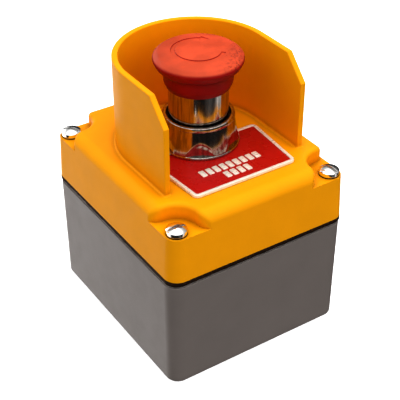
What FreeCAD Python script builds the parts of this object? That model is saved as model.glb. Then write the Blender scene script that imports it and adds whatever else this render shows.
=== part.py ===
import FreeCAD, Part
import math
import os

import Sketcher

# Emergency stop station: a grey box with a yellow lid, a U-shaped guard moulded on the lid, and a
# latching, turn-to-release mushroom button that opens two normally closed contact blocks.
# Frame: +Z up, origin at the centre of the box's underside, -Y the side the legend is read from.

doc = FreeCAD.newDocument("emergency_stop_station")
sheet = doc.addObject("Spreadsheet::Sheet", "Sizes")

# ------------------------------------------------------------------ driving sizes (mm, degrees)

DRIVING_SIZES = {
    # grey box
    "foot_half_width": 46.0,
    "foot_half_length": 51.5,
    "box_level": 56.0,
    "box_draft": 0.3,
    "corner_round": 6.0,
    "lid_corner_round": 6.5,
    "foot_round": 0.9,
    "box_wall": 3.3,
    "box_floor": 3.5,
    "rim_round": 0.3,
    "neck_height": 1.7,
    "neck_step": 0.4,
    # gasket and lid
    "gasket_thick": 1.8,
    "gasket_inset": 0.1,
    "lid_half_width": 46.3,
    "lid_half_length": 52.3,
    "lid_level": 86.9,
    "lid_draft": 2.5,
    "lid_round": 5.6,
    "lid_wall": 3.6,
    "roof_thick": 3.5,
    "inner_round": 3.0,
    # scooped corners with the lid screws
    "shelf_level": 79.2,
    "shelf_thick": 3.0,
    "scoop_radius": 10.0,
    "flare_round": 6.0,
    "flare_overrun": 0.4,
    "scoop_edge_round": 2.0,
    "roof_corner_across": 24.0,
    "roof_corner_along": 30.0,
    "screw_across": 39.9,
    "screw_along": 46.0,
    "column_radius": 5.2,
    "lid_hole_radius": 2.8,
    # lid screws, washers and inserts
    "washer_thick": 0.4,
    "washer_radius": 4.6,
    "screw_radius": 2.5,
    "screw_length": 31.0,
    "head_disc_radius": 4.5,
    "head_disc_height": 1.8,
    "head_dome_height": 1.5,
    "head_dome_arc": 7.5,
    "slot_width": 1.2,
    "slot_depth": 1.3,
    "insert_radius": 3.6,
    "insert_length": 11.0,
    # guard around the button
    "guard_centre": 1.0,
    "guard_radius": 35.9,
    "guard_bore": 33.2,
    "guard_level": 130.2,
    "guard_front": 31.1,
    "guard_slope_start": 20.4,
    "guard_slope_end_level": 119.0,
    "guard_edge_round": 0.5,
    "guard_foot_round": 1.0,
    # legend plate
    "plate_thick": 0.9,
    "plate_front": 39.5,
    "plate_front_half": 26.0,
    "plate_back": 4.5,
    "plate_back_half": 28.8,
    "plate_corner_round": 2.5,
    "plate_tab_radius": 17.5,
    "border_width": 1.6,
    "border_rise": 0.45,
    "border_gap": 0.3,
    "bar_rise": 0.25,
    "bar_length": 4.6,
    "bar_width": 2.6,
    "bar_pitch": 3.5,
    "upper_row": 26.4,
    "lower_row": 32.8,
    # button axis and panel hole
    "axis_back": 1.6,
    "panel_hole_radius": 15.25,
    # bezel nut
    "thread_radius": 14.95,
    "thread_gap": 0.05,
    "bezel_foot_radius": 18.5,
    "bezel_foot_height": 1.4,
    "bezel_flat_half": 17.0,
    "bezel_level": 102.0,
    "bezel_top_radius": 16.0,
    "bezel_lip_radius": 14.9,
    "bezel_lip_height": 2.4,
    "bezel_round": 0.5,
    # operator body
    "barrel_level": 99.4,
    "barrel_bore": 13.5,
    "web_level": 84.0,
    "web_underside": 70.0,
    "web_bore": 5.4,
    "housing_radius": 20.0,
    "housing_underside": 60.0,
    "chamber_radius": 15.0,
    "panel_gasket_thick": 1.0,
    "wiper_level": 100.9,
    # sleeve and mushroom head
    "sleeve_radius": 13.4,
    "sleeve_bore": 12.4,
    "sleeve_underside": 92.0,
    "sleeve_level": 121.0,
    "skirt_level": 116.0,
    "skirt_foot_radius": 13.9,
    "skirt_taper_level": 118.2,
    "skirt_radius": 15.3,
    "skirt_top_level": 121.6,
    "neck_round": 1.4,
    "under_rim_radius": 19.0,
    "under_rim_level": 125.9,
    "rim_radius": 20.0,
    "rim_level": 128.2,
    "shoulder_radius": 17.2,
    "shoulder_level": 131.4,
    "crown_level": 133.1,
    "crown_arc": 88.0,
    "rim_lower_arc": 3.2,
    "rim_upper_arc": 3.3,
    "head_cavity_radius": 11.0,
    "head_cavity_level": 127.0,
    # turning arrow sunk in the head
    "arrow_inner": 10.05,
    "arrow_outer": 11.95,
    "arrow_depth": 0.55,
    "arrow_tail_angle": -45.0,
    "arrow_neck_angle": 52.0,
    "arrow_tip_angle": 30.0,
    "arrow_barb": 1.3,
    # plunger, cam and latch
    "travel": 5.5,
    "release_turn": 45.0,
    "shaft_radius": 4.0,
    "shaft_level": 103.0,
    "shaft_underside": 69.9,
    "shaft_neck_radius": 3.2,
    "clip_groove_radius": 3.3,
    "clip_radius": 6.3,
    "clip_thick": 0.9,
    "clip_gap_width": 3.0,
    "cam_bore": 4.1,
    "cam_radius": 5.2,
    "cam_disc_level": 99.5,
    "cam_disc_thick": 2.5,
    "cam_tube_underside": 83.0,
    "cam_finger_underside": 76.0,
    "latch_level": 74.0,
    "latch_pin_radius": 1.5,
    "latch_pin_reach": 3.4,
    "latch_pin_length": 8.0,
    "latch_lift": 2.1,
    "cam_crest_angle": 20.0,
    "pusher_thick": 2.4,
    "pusher_radius": 14.9,
    "pusher_screw_radius": 2.0,
    "pusher_screw_length": 9.0,
    "return_coil_radius": 8.0,
    "return_wire_radius": 0.6,
    "latch_wire_radius": 0.2,
    "latch_coil_radius": 1.05,
    "latch_spring_length": 4.0,
    "running_gap": 0.05,
    "relief_margin": 0.3,
    "screw_tip_gap": 0.5,
    "root_depth": 1.0,
    # contact carrier and contact blocks
    "carrier_thick": 4.0,
    "carrier_half": 22.0,
    "block_offset": 10.0,
    "block_half_width": 9.0,
    "block_half_length": 20.0,
    "block_underside": 24.0,
    "block_wall": 2.0,
    "block_end_wall": 6.0,
    "block_floor": 3.0,
    "block_roof": 4.0,
    "cover_thick": 2.0,
    "cover_gap": 0.04,
    "terminal_reach": 7.0,
    "terminal_height": 6.0,
    "contact_level": 46.0,
    "contact_thick": 1.0,
    "contact_half_width": 3.0,
    "contact_inner": 6.5,
    "rivet_place": 8.5,
    "rivet_radius": 1.8,
    "rivet_height": 0.8,
    "bridge_half_width": 2.5,
    "bridge_half_length": 11.0,
    "plunger_half": 3.5,
    "plunger_underside": 40.0,
    "contact_coil_radius": 2.6,
    "contact_wire_radius": 0.35,
    "terminal_screw_radius": 1.7,
    "terminal_head_radius": 3.2,
    "terminal_head_height": 2.0,
    "small_screw_radius": 1.5,
    "small_head_radius": 2.8,
    "small_head_height": 1.8,
    "head_sink": 0.2,
    # cable entry, wall fixings and earth terminal
    "entry_level": 28.0,
    "entry_radius": 9.25,
    "entry_boss_radius": 13.5,
    "entry_boss_depth": 4.0,
    "fixing_across": 28.0,
    "fixing_along": 38.0,
    "fixing_radius": 2.25,
    "earth_across": 31.0,
    "earth_along": -12.0,
    "earth_boss_radius": 4.5,
    "earth_boss_height": 5.0,
}

# angle of each lid screw's slot, by corner, as the screws happened to be tightened
SLOT_ANGLES = {(-1, -1): -1.0, (-1, 1): -51.0, (1, -1): -77.0, (1, 1): 20.0}

# numbers of raised bars in the legend's two rows, and of turns in each kind of spring
UPPER_BARS = 9
LOWER_BARS = 4
RETURN_TURNS = 5
LATCH_TURNS = 6
CONTACT_TURNS = 7

# share of the head's crown that has fallen away where the arrow is sunk
CROWN_SHARE_AT_ARROW = 0.4

# how closely an edge must lie at a level, and at a drafted face's nominal place
CLOSE = 0.02
LOOSE = 0.2


class Size:
    """A length with its number and the spreadsheet expression that gives it."""

    def __init__(self, value, text):
        self.value = value
        self.text = text

    def __add__(self, other):
        other = as_size(other)
        return Size(self.value + other.value, f"({self.text} + {other.text})")

    def __sub__(self, other):
        other = as_size(other)
        return Size(self.value - other.value, f"({self.text} - {other.text})")

    def __mul__(self, factor):
        return Size(self.value * factor, f"({self.text} * {factor})")

    def __neg__(self):
        return self * -1


def as_size(thing):
    """Lets plain numbers stand beside sheet sizes."""
    return thing if isinstance(thing, Size) else Size(float(thing), str(float(thing)))


class Dimensions:
    """The driving sizes as attributes, such as D.box_level."""

    def __init__(self, table):
        for row, (alias, number) in enumerate(table.items(), start=1):
            sheet.set(f"A{row}", alias)
            sheet.set(f"B{row}", str(number))
            sheet.setAlias(f"B{row}", alias)
            setattr(self, alias, Size(number, f"Sizes.{alias}"))


D = Dimensions(DRIVING_SIZES)
doc.recompute()

# levels and gaps that follow from the driving sizes
LID_FOOT = D.box_level + D.gasket_thick
ROOF_UNDERSIDE = D.lid_level - D.roof_thick
SHELF_UNDERSIDE = D.shelf_level - D.shelf_thick
PLATE_LEVEL = D.lid_level + D.plate_thick
SHOULDER_LEVEL = ROOF_UNDERSIDE - D.panel_gasket_thick
CAVITY_HALF_WIDTH = D.foot_half_width - D.box_wall
CAVITY_HALF_LENGTH = D.foot_half_length - D.box_wall
BLOCK_LEVEL = D.housing_underside - D.carrier_thick
PUSHER_UNDERSIDE = D.shaft_underside - D.pusher_thick
PLUNGER_LEVEL = PUSHER_UNDERSIDE - D.running_gap
BRIDGE_LEVEL = D.contact_level - D.rivet_height * 2 - D.running_gap
CORNERS = [(i, j) for i in (-1, 1) for j in (-1, 1)]
SIDES = {"left": -1, "right": 1}
THROUGH = as_size(300.0)

nodes = {}


# ------------------------------------------------------------------ helpers


def bind(thing, prop, size):
    """Ties a property to the sheet."""
    thing.setExpression(prop, as_size(size).text)


def place(thing, x=0, y=0, z=0):
    """Ties a placement's position to the sheet."""
    for letter, size in (("x", x), ("y", y), ("z", z)):
        bind(thing, f"Placement.Base.{letter}", size)


def finish_node(thing, name):
    """Names a finished sub-part. Its label is also its file name."""
    doc.recompute()
    thing.Label = name
    nodes[name] = thing
    return thing


def new_body(name, on_axis=False):
    """A PartDesign body, centred on the button's axis if asked."""
    body = doc.addObject("PartDesign::Body", "Body_" + name)
    if on_axis:
        place(body, 0, -D.axis_back, 0)
    return body


def sketch_on(body, role, offset=0):
    """A sketch on one of the body's origin planes, moved along the plane's normal."""
    plane = next(f for f in body.Origin.OriginFeatures if f.Role == role)
    sketch = body.newObject("Sketcher::SketchObject", "Sketch")
    sketch.AttachmentSupport = [(plane, "")]
    sketch.MapMode = "FlatFace"
    bind(sketch, "AttachmentOffset.Base.z", offset)
    return sketch


def pin_point(sketch, geometry, end, x, y):
    """Fixes one point of a sketch at a sheet position."""
    for kind, size, axis in (("DistanceX", x, -2), ("DistanceY", y, -1)):
        size = as_size(size)
        if size.value == 0:
            sketch.addConstraint(Sketcher.Constraint("PointOnObject", geometry, end, axis))
            continue
        index = sketch.addConstraint(Sketcher.Constraint(kind, -1, 1, geometry, end, size.value))
        sketch.setExpression(f"Constraints[{index}]", size.text)


def circle(sketch, radius, x=0, y=0):
    """Adds a circle of a sheet radius at a sheet position."""
    centre = FreeCAD.Vector(as_size(x).value, as_size(y).value, 0)
    index = sketch.addGeometry(Part.Circle(centre, FreeCAD.Vector(0, 0, 1), as_size(radius).value))
    pin_point(sketch, index, 3, x, y)
    ring = sketch.addConstraint(Sketcher.Constraint("Radius", index, as_size(radius).value))
    sketch.setExpression(f"Constraints[{ring}]", as_size(radius).text)


def arc_between(start, end, radius, bulge):
    """The arc from start to end. A bulge of 1 swells to the right of the way there, -1 to the left."""
    chord = end - start
    middle = (start + end) * 0.5
    rise = math.sqrt(max(radius**2 - (chord.Length / 2) ** 2, 0))
    normal = FreeCAD.Vector(chord.y, -chord.x, 0) / chord.Length
    centre = middle - normal * rise * bulge
    crest = centre + normal * radius * bulge
    return Part.Arc(start, crest, end)


def outline(sketch, steps):
    """Adds a closed outline. A step is a point (x, y), or (x, y, radius, bulge) to reach it by an arc."""
    points = [FreeCAD.Vector(as_size(s[0]).value, as_size(s[1]).value, 0) for s in steps]
    first = sketch.GeometryCount
    count = len(steps)
    ends = []
    for i, step in enumerate(steps):
        start, end = points[i - 1], points[i]
        if len(step) == 2:
            sketch.addGeometry(Part.LineSegment(start, end))
            ends.append((1, 2))
        else:
            index = sketch.addGeometry(arc_between(start, end, as_size(step[2]).value, step[3]))
            runs_forward = sketch.getPoint(index, 1).distanceToPoint(start) < 1e-6
            ends.append((1, 2) if runs_forward else (2, 1))
    for i in range(count):
        after = (i + 1) % count
        here, there = ends[i][1], ends[after][0]
        sketch.addConstraint(Sketcher.Constraint("Coincident", first + i, here, first + after, there))
        pin_point(sketch, first + i, here, steps[i][0], steps[i][1])
        if len(steps[i]) == 4:
            radius = as_size(steps[i][2])
            index = sketch.addConstraint(Sketcher.Constraint("Radius", first + i, radius.value))
            sketch.setExpression(f"Constraints[{index}]", radius.text)


def rectangle(sketch, half_x, half_y, x=0, y=0):
    """A rectangle by its half sizes and centre."""
    x, y = as_size(x), as_size(y)
    corner_signs = [(1, -1), (1, 1), (-1, 1), (-1, -1)]
    outline(sketch, [(x + as_size(half_x) * i, y + as_size(half_y) * j) for i, j in corner_signs])


def feature(body, kind, sketch, name):
    """A sketch-based feature, made the body's tip."""
    thing = body.newObject("PartDesign::" + kind, name)
    thing.Profile = sketch
    sketch.Visibility = False
    body.Tip = thing
    return thing


def volume(body):
    """The body's volume once it is up to date."""
    doc.recompute()
    return body.Shape.Volume


def pad(body, sketch, length, taper=None, down=False):
    """Adds material along the sketch's normal, or against it."""
    thing = feature(body, "Pad", sketch, "Pad")
    bind(thing, "Length", length)
    thing.Reversed = down
    if taper is not None:
        bind(thing, "TaperAngle", taper)
    doc.recompute()
    return thing


def pocket(body, sketch, length, up=False, both_ways=False):
    """Takes material away, and checks that it did."""
    before = volume(body)
    thing = feature(body, "Pocket", sketch, "Pocket")
    bind(thing, "Length", length)
    thing.Reversed = up
    thing.Midplane = both_ways
    if not volume(body) < before:
        raise RuntimeError(f"{body.Name}: a pocket removed nothing")
    return thing


def revolve(body, sketch):
    """Turns a half section about the sketch's vertical axis."""
    thing = feature(body, "Revolution", sketch, "Revolution")
    thing.ReferenceAxis = (sketch, ["V_Axis"])
    thing.Angle = 360.0
    doc.recompute()
    return thing


def edges_where(shape, test):
    """Names of the edges whose bounding box passes the test."""
    return [f"Edge{i}" for i, edge in enumerate(shape.Edges, start=1) if test(edge.BoundBox)]


def fillet(body, radius, test):
    """Rounds the edges of the body's tip that pass the test."""
    doc.recompute()
    base = body.Tip
    names = edges_where(base.Shape, test)
    if not names:
        raise RuntimeError(f"{body.Name}: no edge to round")
    thing = body.newObject("PartDesign::Fillet", "Fillet")
    thing.Base = (base, names)
    bind(thing, "Radius", radius)
    body.Tip = thing
    doc.recompute()
    return thing


def near(value, target, tolerance=CLOSE):
    """True if a number is within the tolerance of a size."""
    return abs(value - as_size(target).value) < tolerance


def is_upright(box):
    """True for an edge that rises nearly straight up."""
    return box.ZLength > max(box.XLength, box.YLength)


def lies_at(box, level):
    """True for an edge that lies flat at a level."""
    return near(box.ZMin, level) and near(box.ZMax, level)


def cylinder(radius, height, x=0, y=0, z=0):
    """An upright primitive cylinder."""
    thing = doc.addObject("Part::Cylinder", "Cylinder")
    bind(thing, "Radius", radius)
    bind(thing, "Height", height)
    place(thing, x, y, z)
    return thing


def block(half_x, half_y, height, x=0, y=0, z=0):
    """A primitive box by its half sizes, centred on x and y and standing on z."""
    thing = doc.addObject("Part::Box", "Box")
    bind(thing, "Length", as_size(half_x) * 2)
    bind(thing, "Width", as_size(half_y) * 2)
    bind(thing, "Height", height)
    place(thing, as_size(x) - half_x, as_size(y) - half_y, z)
    return thing


def cut(base, tool):
    """Base less tool."""
    thing = doc.addObject("Part::Cut", "Cut")
    thing.Base = base
    thing.Tool = tool
    return thing


def join(*things):
    """All things fused."""
    thing = doc.addObject("Part::MultiFuse", "Fusion")
    thing.Shapes = list(things)
    return thing


def group(things):
    """Separate identical solids kept together as one node."""
    thing = doc.addObject("Part::Compound", "Group")
    thing.Links = list(things)
    return thing


def coil(name, mean_radius, wire_radius, length, turns, placement):
    """A compression spring swept along a helix, as a plain shape with sheet sizes."""
    mean, wire = mean_radius.value, wire_radius.value
    pitch = (length.value - 2 * wire) / turns
    helix = Part.makeLongHelix(pitch, pitch * turns, mean)
    section = Part.Wire(Part.makeCircle(wire, FreeCAD.Vector(mean, 0, 0), FreeCAD.Vector(0, 1, 0)))
    swept = Part.Wire(helix.Edges).makePipeShell([section], True, True)
    spring = doc.addObject("Part::Feature", "Spring")
    spring.Shape = swept
    spring.Placement = placement * FreeCAD.Placement(FreeCAD.Vector(0, 0, wire), FreeCAD.Rotation())
    return finish_node(spring, name)


def turned(body, x, y, z, turn=0.0, upside_down=False):
    """Places a body at a sheet position, turned about its own axis, and upside down if asked."""
    flip = FreeCAD.Rotation(FreeCAD.Vector(1, 0, 0), 180.0 if upside_down else 0.0)
    about_axis = FreeCAD.Rotation(FreeCAD.Vector(0, 0, 1), turn)
    body.Placement = FreeCAD.Placement(FreeCAD.Vector(), about_axis * flip)
    place(body, x, y, z)


def screw(shank_radius, shank_length, head_radius, head_height, dome=None):
    """A slotted screw whose head stands on z = 0 of its own body. A dome is the crown's extra height."""
    body = doc.addObject("PartDesign::Body", "Body_screw")
    section = sketch_on(body, "XZ_Plane")
    crown = head_height if dome is None else head_height + dome
    steps = [
        (0, -shank_length),
        (shank_radius, -shank_length),
        (shank_radius, 0),
        (head_radius, 0),
        (head_radius, head_height),
    ]
    steps.append((0, crown) if dome is None else (0, crown, D.head_dome_arc, 1))
    outline(section, steps)
    revolve(body, section)
    slot = sketch_on(body, "XY_Plane", crown)
    rectangle(slot, THROUGH, D.slot_width * 0.5)
    pocket(body, slot, D.slot_depth)
    return body


# ------------------------------------------------------------------ enclosure


def rounded_block(body, half_x, half_y, foot, height, radius, taper=None):
    """A pad with rounded upright corners."""
    base = sketch_on(body, "XY_Plane", foot)
    corner_steps = []
    across, along = half_x - radius, half_y - radius
    for start, end in (
        ((across, -half_y), (half_x, -along)),
        ((half_x, along), (across, half_y)),
        ((-across, half_y), (-half_x, along)),
        ((-half_x, -along), (-across, -half_y)),
    ):
        corner_steps += [start, (*end, radius, 1)]
    outline(base, corner_steps)
    return pad(body, base, height, taper)


def corner_circles(body, level, radius):
    """A sketch of one circle at each lid screw."""
    sketch = sketch_on(body, "XY_Plane", level)
    for i, j in CORNERS:
        circle(sketch, radius, D.screw_across * i, D.screw_along * j)
    return sketch


def base_box():
    """Grey box: drafted walls, screw columns, cable entry in the far wall, fixing holes and earth boss."""
    body = new_body("base_box")
    shoulder = D.box_level - D.neck_height
    rounded_block(body, D.foot_half_width, D.foot_half_length, 0, shoulder, D.corner_round, D.box_draft)
    fillet(body, D.foot_round, lambda box: lies_at(box, 0))
    fillet(body, D.rim_round, lambda box: lies_at(box, shoulder))
    neck_half_x, neck_half_y = D.foot_half_width - D.neck_step, D.foot_half_length - D.neck_step
    neck_foot, neck_rise = shoulder - D.root_depth, D.neck_height + D.root_depth
    rounded_block(body, neck_half_x, neck_half_y, neck_foot, neck_rise, D.corner_round)
    cavity = sketch_on(body, "XY_Plane", D.box_level)
    rectangle(cavity, CAVITY_HALF_WIDTH, CAVITY_HALF_LENGTH)
    pocket(body, cavity, D.box_level - D.box_floor)
    pad(body, corner_circles(body, D.box_floor, D.column_radius), D.box_level - D.box_floor)
    insert_foot = D.box_level - D.insert_length
    pocket(body, corner_circles(body, D.box_level, D.insert_radius), D.insert_length)
    pocket(body, corner_circles(body, insert_foot, D.lid_hole_radius), D.insert_length)

    # the far wall's normal runs along -Y in this plane, so the entry's boss is set back by a negative offset
    boss = sketch_on(body, "XZ_Plane", -(CAVITY_HALF_LENGTH - D.entry_boss_depth))
    circle(boss, D.entry_boss_radius, 0, D.entry_level)
    pad(body, boss, D.entry_boss_depth + D.root_depth, down=True)
    entry = sketch_on(body, "XZ_Plane", -(CAVITY_HALF_LENGTH - D.entry_boss_depth - D.root_depth))
    circle(entry, D.entry_radius, 0, D.entry_level)
    pocket(body, entry, THROUGH)

    fixings = sketch_on(body, "XY_Plane", D.box_floor)
    for i, j in CORNERS:
        circle(fixings, D.fixing_radius, D.fixing_across * i, D.fixing_along * j)
    pocket(body, fixings, D.box_floor * 2)
    earth = sketch_on(body, "XY_Plane", D.box_floor)
    circle(earth, D.earth_boss_radius, D.earth_across, D.earth_along)
    pad(body, earth, D.earth_boss_height)
    earth_hole = sketch_on(body, "XY_Plane", D.box_floor + D.earth_boss_height)
    circle(earth_hole, D.terminal_screw_radius + D.running_gap, D.earth_across, D.earth_along)
    pocket(body, earth_hole, D.earth_boss_height)
    return finish_node(body, "base_box")


def lid_gasket():
    """Flat gasket between box and lid, widened round the screw columns."""
    body = new_body("lid_gasket")
    half_x = D.lid_half_width - D.gasket_inset
    half_y = D.lid_half_length - D.gasket_inset
    rounded_block(body, half_x, half_y, D.box_level, D.gasket_thick, D.corner_round)
    opening = sketch_on(body, "XY_Plane", LID_FOOT)
    rectangle(opening, CAVITY_HALF_WIDTH, CAVITY_HALF_LENGTH)
    pocket(body, opening, D.gasket_thick * 2)
    pad(body, corner_circles(body, D.box_level, D.column_radius), D.gasket_thick)
    pocket(body, corner_circles(body, LID_FOOT, D.lid_hole_radius), D.gasket_thick * 2)
    return finish_node(body, "lid_gasket")


def leg(reach, offset):
    """The second short side of a right triangle, from its long side and the first."""
    value = math.sqrt(reach.value**2 - offset.value**2)
    return Size(value, f"sqrt(pow({reach.text}; 2) - pow({offset.text}; 2))")


def scoop(body, i, j):
    """Cuts a corner down to its shelf: round the lid screw, then flaring out through both sides."""
    narrowing = (D.shelf_level - LID_FOOT) * math.tan(math.radians(D.lid_draft.value))
    half_x = D.lid_half_width - narrowing
    half_y = D.lid_half_length - narrowing
    reach = D.scoop_radius + D.flare_round
    flare_x = half_x + D.flare_overrun - D.flare_round
    flare_y = D.screw_along - leg(reach, flare_x - D.screw_across)
    end_flare_y = half_y + D.flare_overrun - D.flare_round
    end_flare_x = D.screw_across - leg(reach, end_flare_y - D.screw_along)
    share = D.scoop_radius.value / reach.value
    side_join_x = D.screw_across + (flare_x - D.screw_across) * share
    side_join_y = D.screw_along + (flare_y - D.screw_along) * share
    end_join_x = D.screw_across + (end_flare_x - D.screw_across) * share
    end_join_y = D.screw_along + (end_flare_y - D.screw_along) * share
    past_x = half_x + D.flare_round
    past_y = half_y + D.flare_round
    turn = i * j
    sketch = sketch_on(body, "XY_Plane", D.lid_level)
    steps = [
        (past_x * i, flare_y * j),
        ((flare_x + D.flare_round) * i, flare_y * j),
        (side_join_x * i, side_join_y * j, D.flare_round, turn),
        (end_join_x * i, end_join_y * j, D.scoop_radius, -turn),
        (end_flare_x * i, (end_flare_y + D.flare_round) * j, D.flare_round, turn),
        (end_flare_x * i, past_y * j),
        (past_x * i, past_y * j),
    ]
    outline(sketch, steps)
    pocket(body, sketch, D.lid_level - D.shelf_level)


def is_bent(box):
    """True for an edge that runs both across and along the lid."""
    return box.XLength > LOOSE and box.YLength > LOOSE


def guard(body):
    """U-shaped wall round the button, open towards -Y, with its front ends cut on a slope."""
    foot = sketch_on(body, "XY_Plane", D.lid_level - D.root_depth)
    rounded_front = [
        (-D.guard_radius, -D.guard_front),
        (D.guard_radius, -D.guard_front),
        (D.guard_radius, D.guard_centre),
        (0, D.guard_centre + D.guard_radius, D.guard_radius, 1),
        (-D.guard_radius, D.guard_centre, D.guard_radius, 1),
    ]
    outline(foot, rounded_front)
    pad(body, foot, D.guard_level - D.lid_level + D.root_depth)
    inside = sketch_on(body, "XY_Plane", D.guard_level)
    outline(
        inside,
        [
            (-D.guard_bore, -THROUGH),
            (D.guard_bore, -THROUGH),
            (D.guard_bore, D.guard_centre),
            (0, D.guard_centre + D.guard_bore, D.guard_bore, 1),
            (-D.guard_bore, D.guard_centre, D.guard_bore, 1),
        ],
    )
    pocket(body, inside, D.guard_level - D.lid_level)
    profile = sketch_on(body, "YZ_Plane")
    outline(
        profile,
        [
            (-D.guard_front - D.root_depth, D.guard_slope_end_level),
            (-D.guard_front, D.guard_slope_end_level),
            (-D.guard_slope_start, D.guard_level),
            (-D.guard_slope_start, D.guard_level + D.root_depth),
            (-D.guard_front - D.root_depth, D.guard_level + D.root_depth),
        ],
    )
    pocket(body, profile, THROUGH, both_ways=True)
    fillet(body, D.guard_edge_round, is_guard_rim)
    fillet(body, D.guard_foot_round, is_guard_foot)


def is_guard_rim(box):
    """True for the guard's free edges: along its top, down its slopes and down its front ends."""
    along_front = near(box.YMin, -D.guard_front, LOOSE) and box.ZLength > D.guard_foot_round.value
    along_top = lies_at(box, D.guard_level) and box.YLength > D.guard_radius.value * 0.5
    return along_front or along_top


def is_guard_foot(box):
    """True for the outer edge between guard and platform."""
    return lies_at(box, D.lid_level) and near(max(box.XMax, -box.XMin), D.guard_radius, LOOSE)


def lid():
    """Yellow lid: drafted shell, rounded platform, scooped corners, guard, columns and the button's hole."""
    body = new_body("lid")
    half_x, half_y = D.lid_half_width, D.lid_half_length
    rounded_block(body, half_x, half_y, LID_FOOT, D.lid_level - LID_FOOT, D.lid_corner_round, -D.lid_draft)
    fillet(body, D.lid_round, lambda box: lies_at(box, D.lid_level))
    for i, j in CORNERS:
        scoop(body, i, j)
    fillet(body, D.scoop_edge_round, lambda box: lies_at(box, D.lid_level) and is_bent(box))
    guard(body)

    lower = sketch_on(body, "XY_Plane", LID_FOOT)
    inner_half_x = half_x - D.lid_wall
    inner_half_y = half_y - D.lid_wall
    rectangle(lower, inner_half_x, inner_half_y)
    pocket(body, lower, SHELF_UNDERSIDE - LID_FOOT, up=True)
    upper = sketch_on(body, "XY_Plane", SHELF_UNDERSIDE)
    steps = []
    for i, j in ((1, -1), (1, 1), (-1, 1), (-1, -1)):
        on_x = (D.roof_corner_across * i, inner_half_y * j)
        corner = (D.roof_corner_across * i, D.roof_corner_along * j)
        on_y = (inner_half_x * i, D.roof_corner_along * j)
        steps += [on_x, corner, on_y] if i * j < 0 else [on_y, corner, on_x]
    outline(upper, steps)
    pocket(body, upper, ROOF_UNDERSIDE - SHELF_UNDERSIDE, up=True)
    pad(body, corner_circles(body, LID_FOOT, D.column_radius), SHELF_UNDERSIDE - LID_FOOT)
    pocket(body, corner_circles(body, D.lid_level, D.lid_hole_radius), THROUGH)
    hole = sketch_on(body, "XY_Plane", D.lid_level)
    circle(hole, D.panel_hole_radius, 0, -D.axis_back)
    pocket(body, hole, D.roof_thick * 2)
    return finish_node(body, "lid")


def corner_group(name, build_one):
    """One piece at each lid screw, as one node."""
    return finish_node(group([build_one(i, j) for i, j in CORNERS]), name)


def lid_screw(i, j):
    """A slotted, domed screw in one corner of the lid."""
    body = screw(D.screw_radius, D.screw_length, D.head_disc_radius, D.head_disc_height, D.head_dome_height)
    seat = D.shelf_level + D.washer_thick
    turned(body, D.screw_across * i, D.screw_along * j, seat, SLOT_ANGLES[i, j])
    return body


def ring(outer, inner, height, x, y, z):
    """A plain ring standing on z."""
    return cut(cylinder(outer, height, x, y, z), cylinder(inner, height * 3, x, y, z - height))


def lid_screw_washer(i, j):
    """Thin dark washer under a lid screw's head."""
    inner = D.screw_radius + D.running_gap
    return ring(D.washer_radius, inner, D.washer_thick, D.screw_across * i, D.screw_along * j, D.shelf_level)


def threaded_insert(i, j):
    """Brass insert in a screw column of the box."""
    outer = D.insert_radius - D.running_gap
    inner = D.screw_radius + D.running_gap
    foot = D.box_level - D.insert_length
    return ring(outer, inner, D.insert_length, D.screw_across * i, D.screw_along * j, foot)


# ------------------------------------------------------------------ legend plate


def plate_outline(body, level, inset=0):
    """The plate's flared outline, drawn in by an inset."""
    sketch = sketch_on(body, "XY_Plane", level)
    front, back = D.plate_front - inset, D.plate_back + inset
    front_half, back_half = D.plate_front_half - inset, D.plate_back_half - inset
    outline(sketch, [(front_half, -front), (back_half, -back), (-back_half, -back), (-front_half, -front)])
    return sketch


def legend_plate():
    """Flared plate held under the bezel nut, with a raised border and two rows of plain raised bars."""
    body = new_body("legend_plate")
    pad(body, plate_outline(body, D.lid_level), D.plate_thick + D.border_rise)
    fillet(body, D.plate_corner_round, is_upright)
    pocket(body, plate_outline(body, PLATE_LEVEL + D.border_rise, D.border_width), D.border_rise)
    tab = sketch_on(body, "XY_Plane", D.lid_level)
    circle(tab, D.plate_tab_radius, 0, -D.axis_back)
    pad(body, tab, D.plate_thick)
    clearance = sketch_on(body, "XY_Plane", PLATE_LEVEL + D.border_rise)
    circle(clearance, D.bezel_foot_radius + D.border_gap, 0, -D.axis_back)
    pocket(body, clearance, D.border_rise)
    hole = sketch_on(body, "XY_Plane", PLATE_LEVEL)
    circle(hole, D.panel_hole_radius, 0, -D.axis_back)
    pocket(body, hole, D.plate_thick * 2)
    for row, count in ((D.upper_row, UPPER_BARS), (D.lower_row, LOWER_BARS)):
        bars = sketch_on(body, "XY_Plane", PLATE_LEVEL)
        for i in range(count):
            middle = D.bar_pitch * (i - (count - 1) / 2)
            rectangle(bars, D.bar_width * 0.5, D.bar_length * 0.5, middle, -row)
        pad(body, bars, D.bar_rise)
    return finish_node(body, "legend_plate")


# ------------------------------------------------------------------ button: fixed pieces


def hexagon(sketch, apothem):
    """A hexagon with two flats facing along X."""
    corner = 1 / math.cos(math.radians(30))
    angles = [math.radians(30 + 60 * k) for k in range(6)]
    outline(sketch, [(apothem * (corner * math.cos(a)), apothem * (corner * math.sin(a))) for a in angles])


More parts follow.
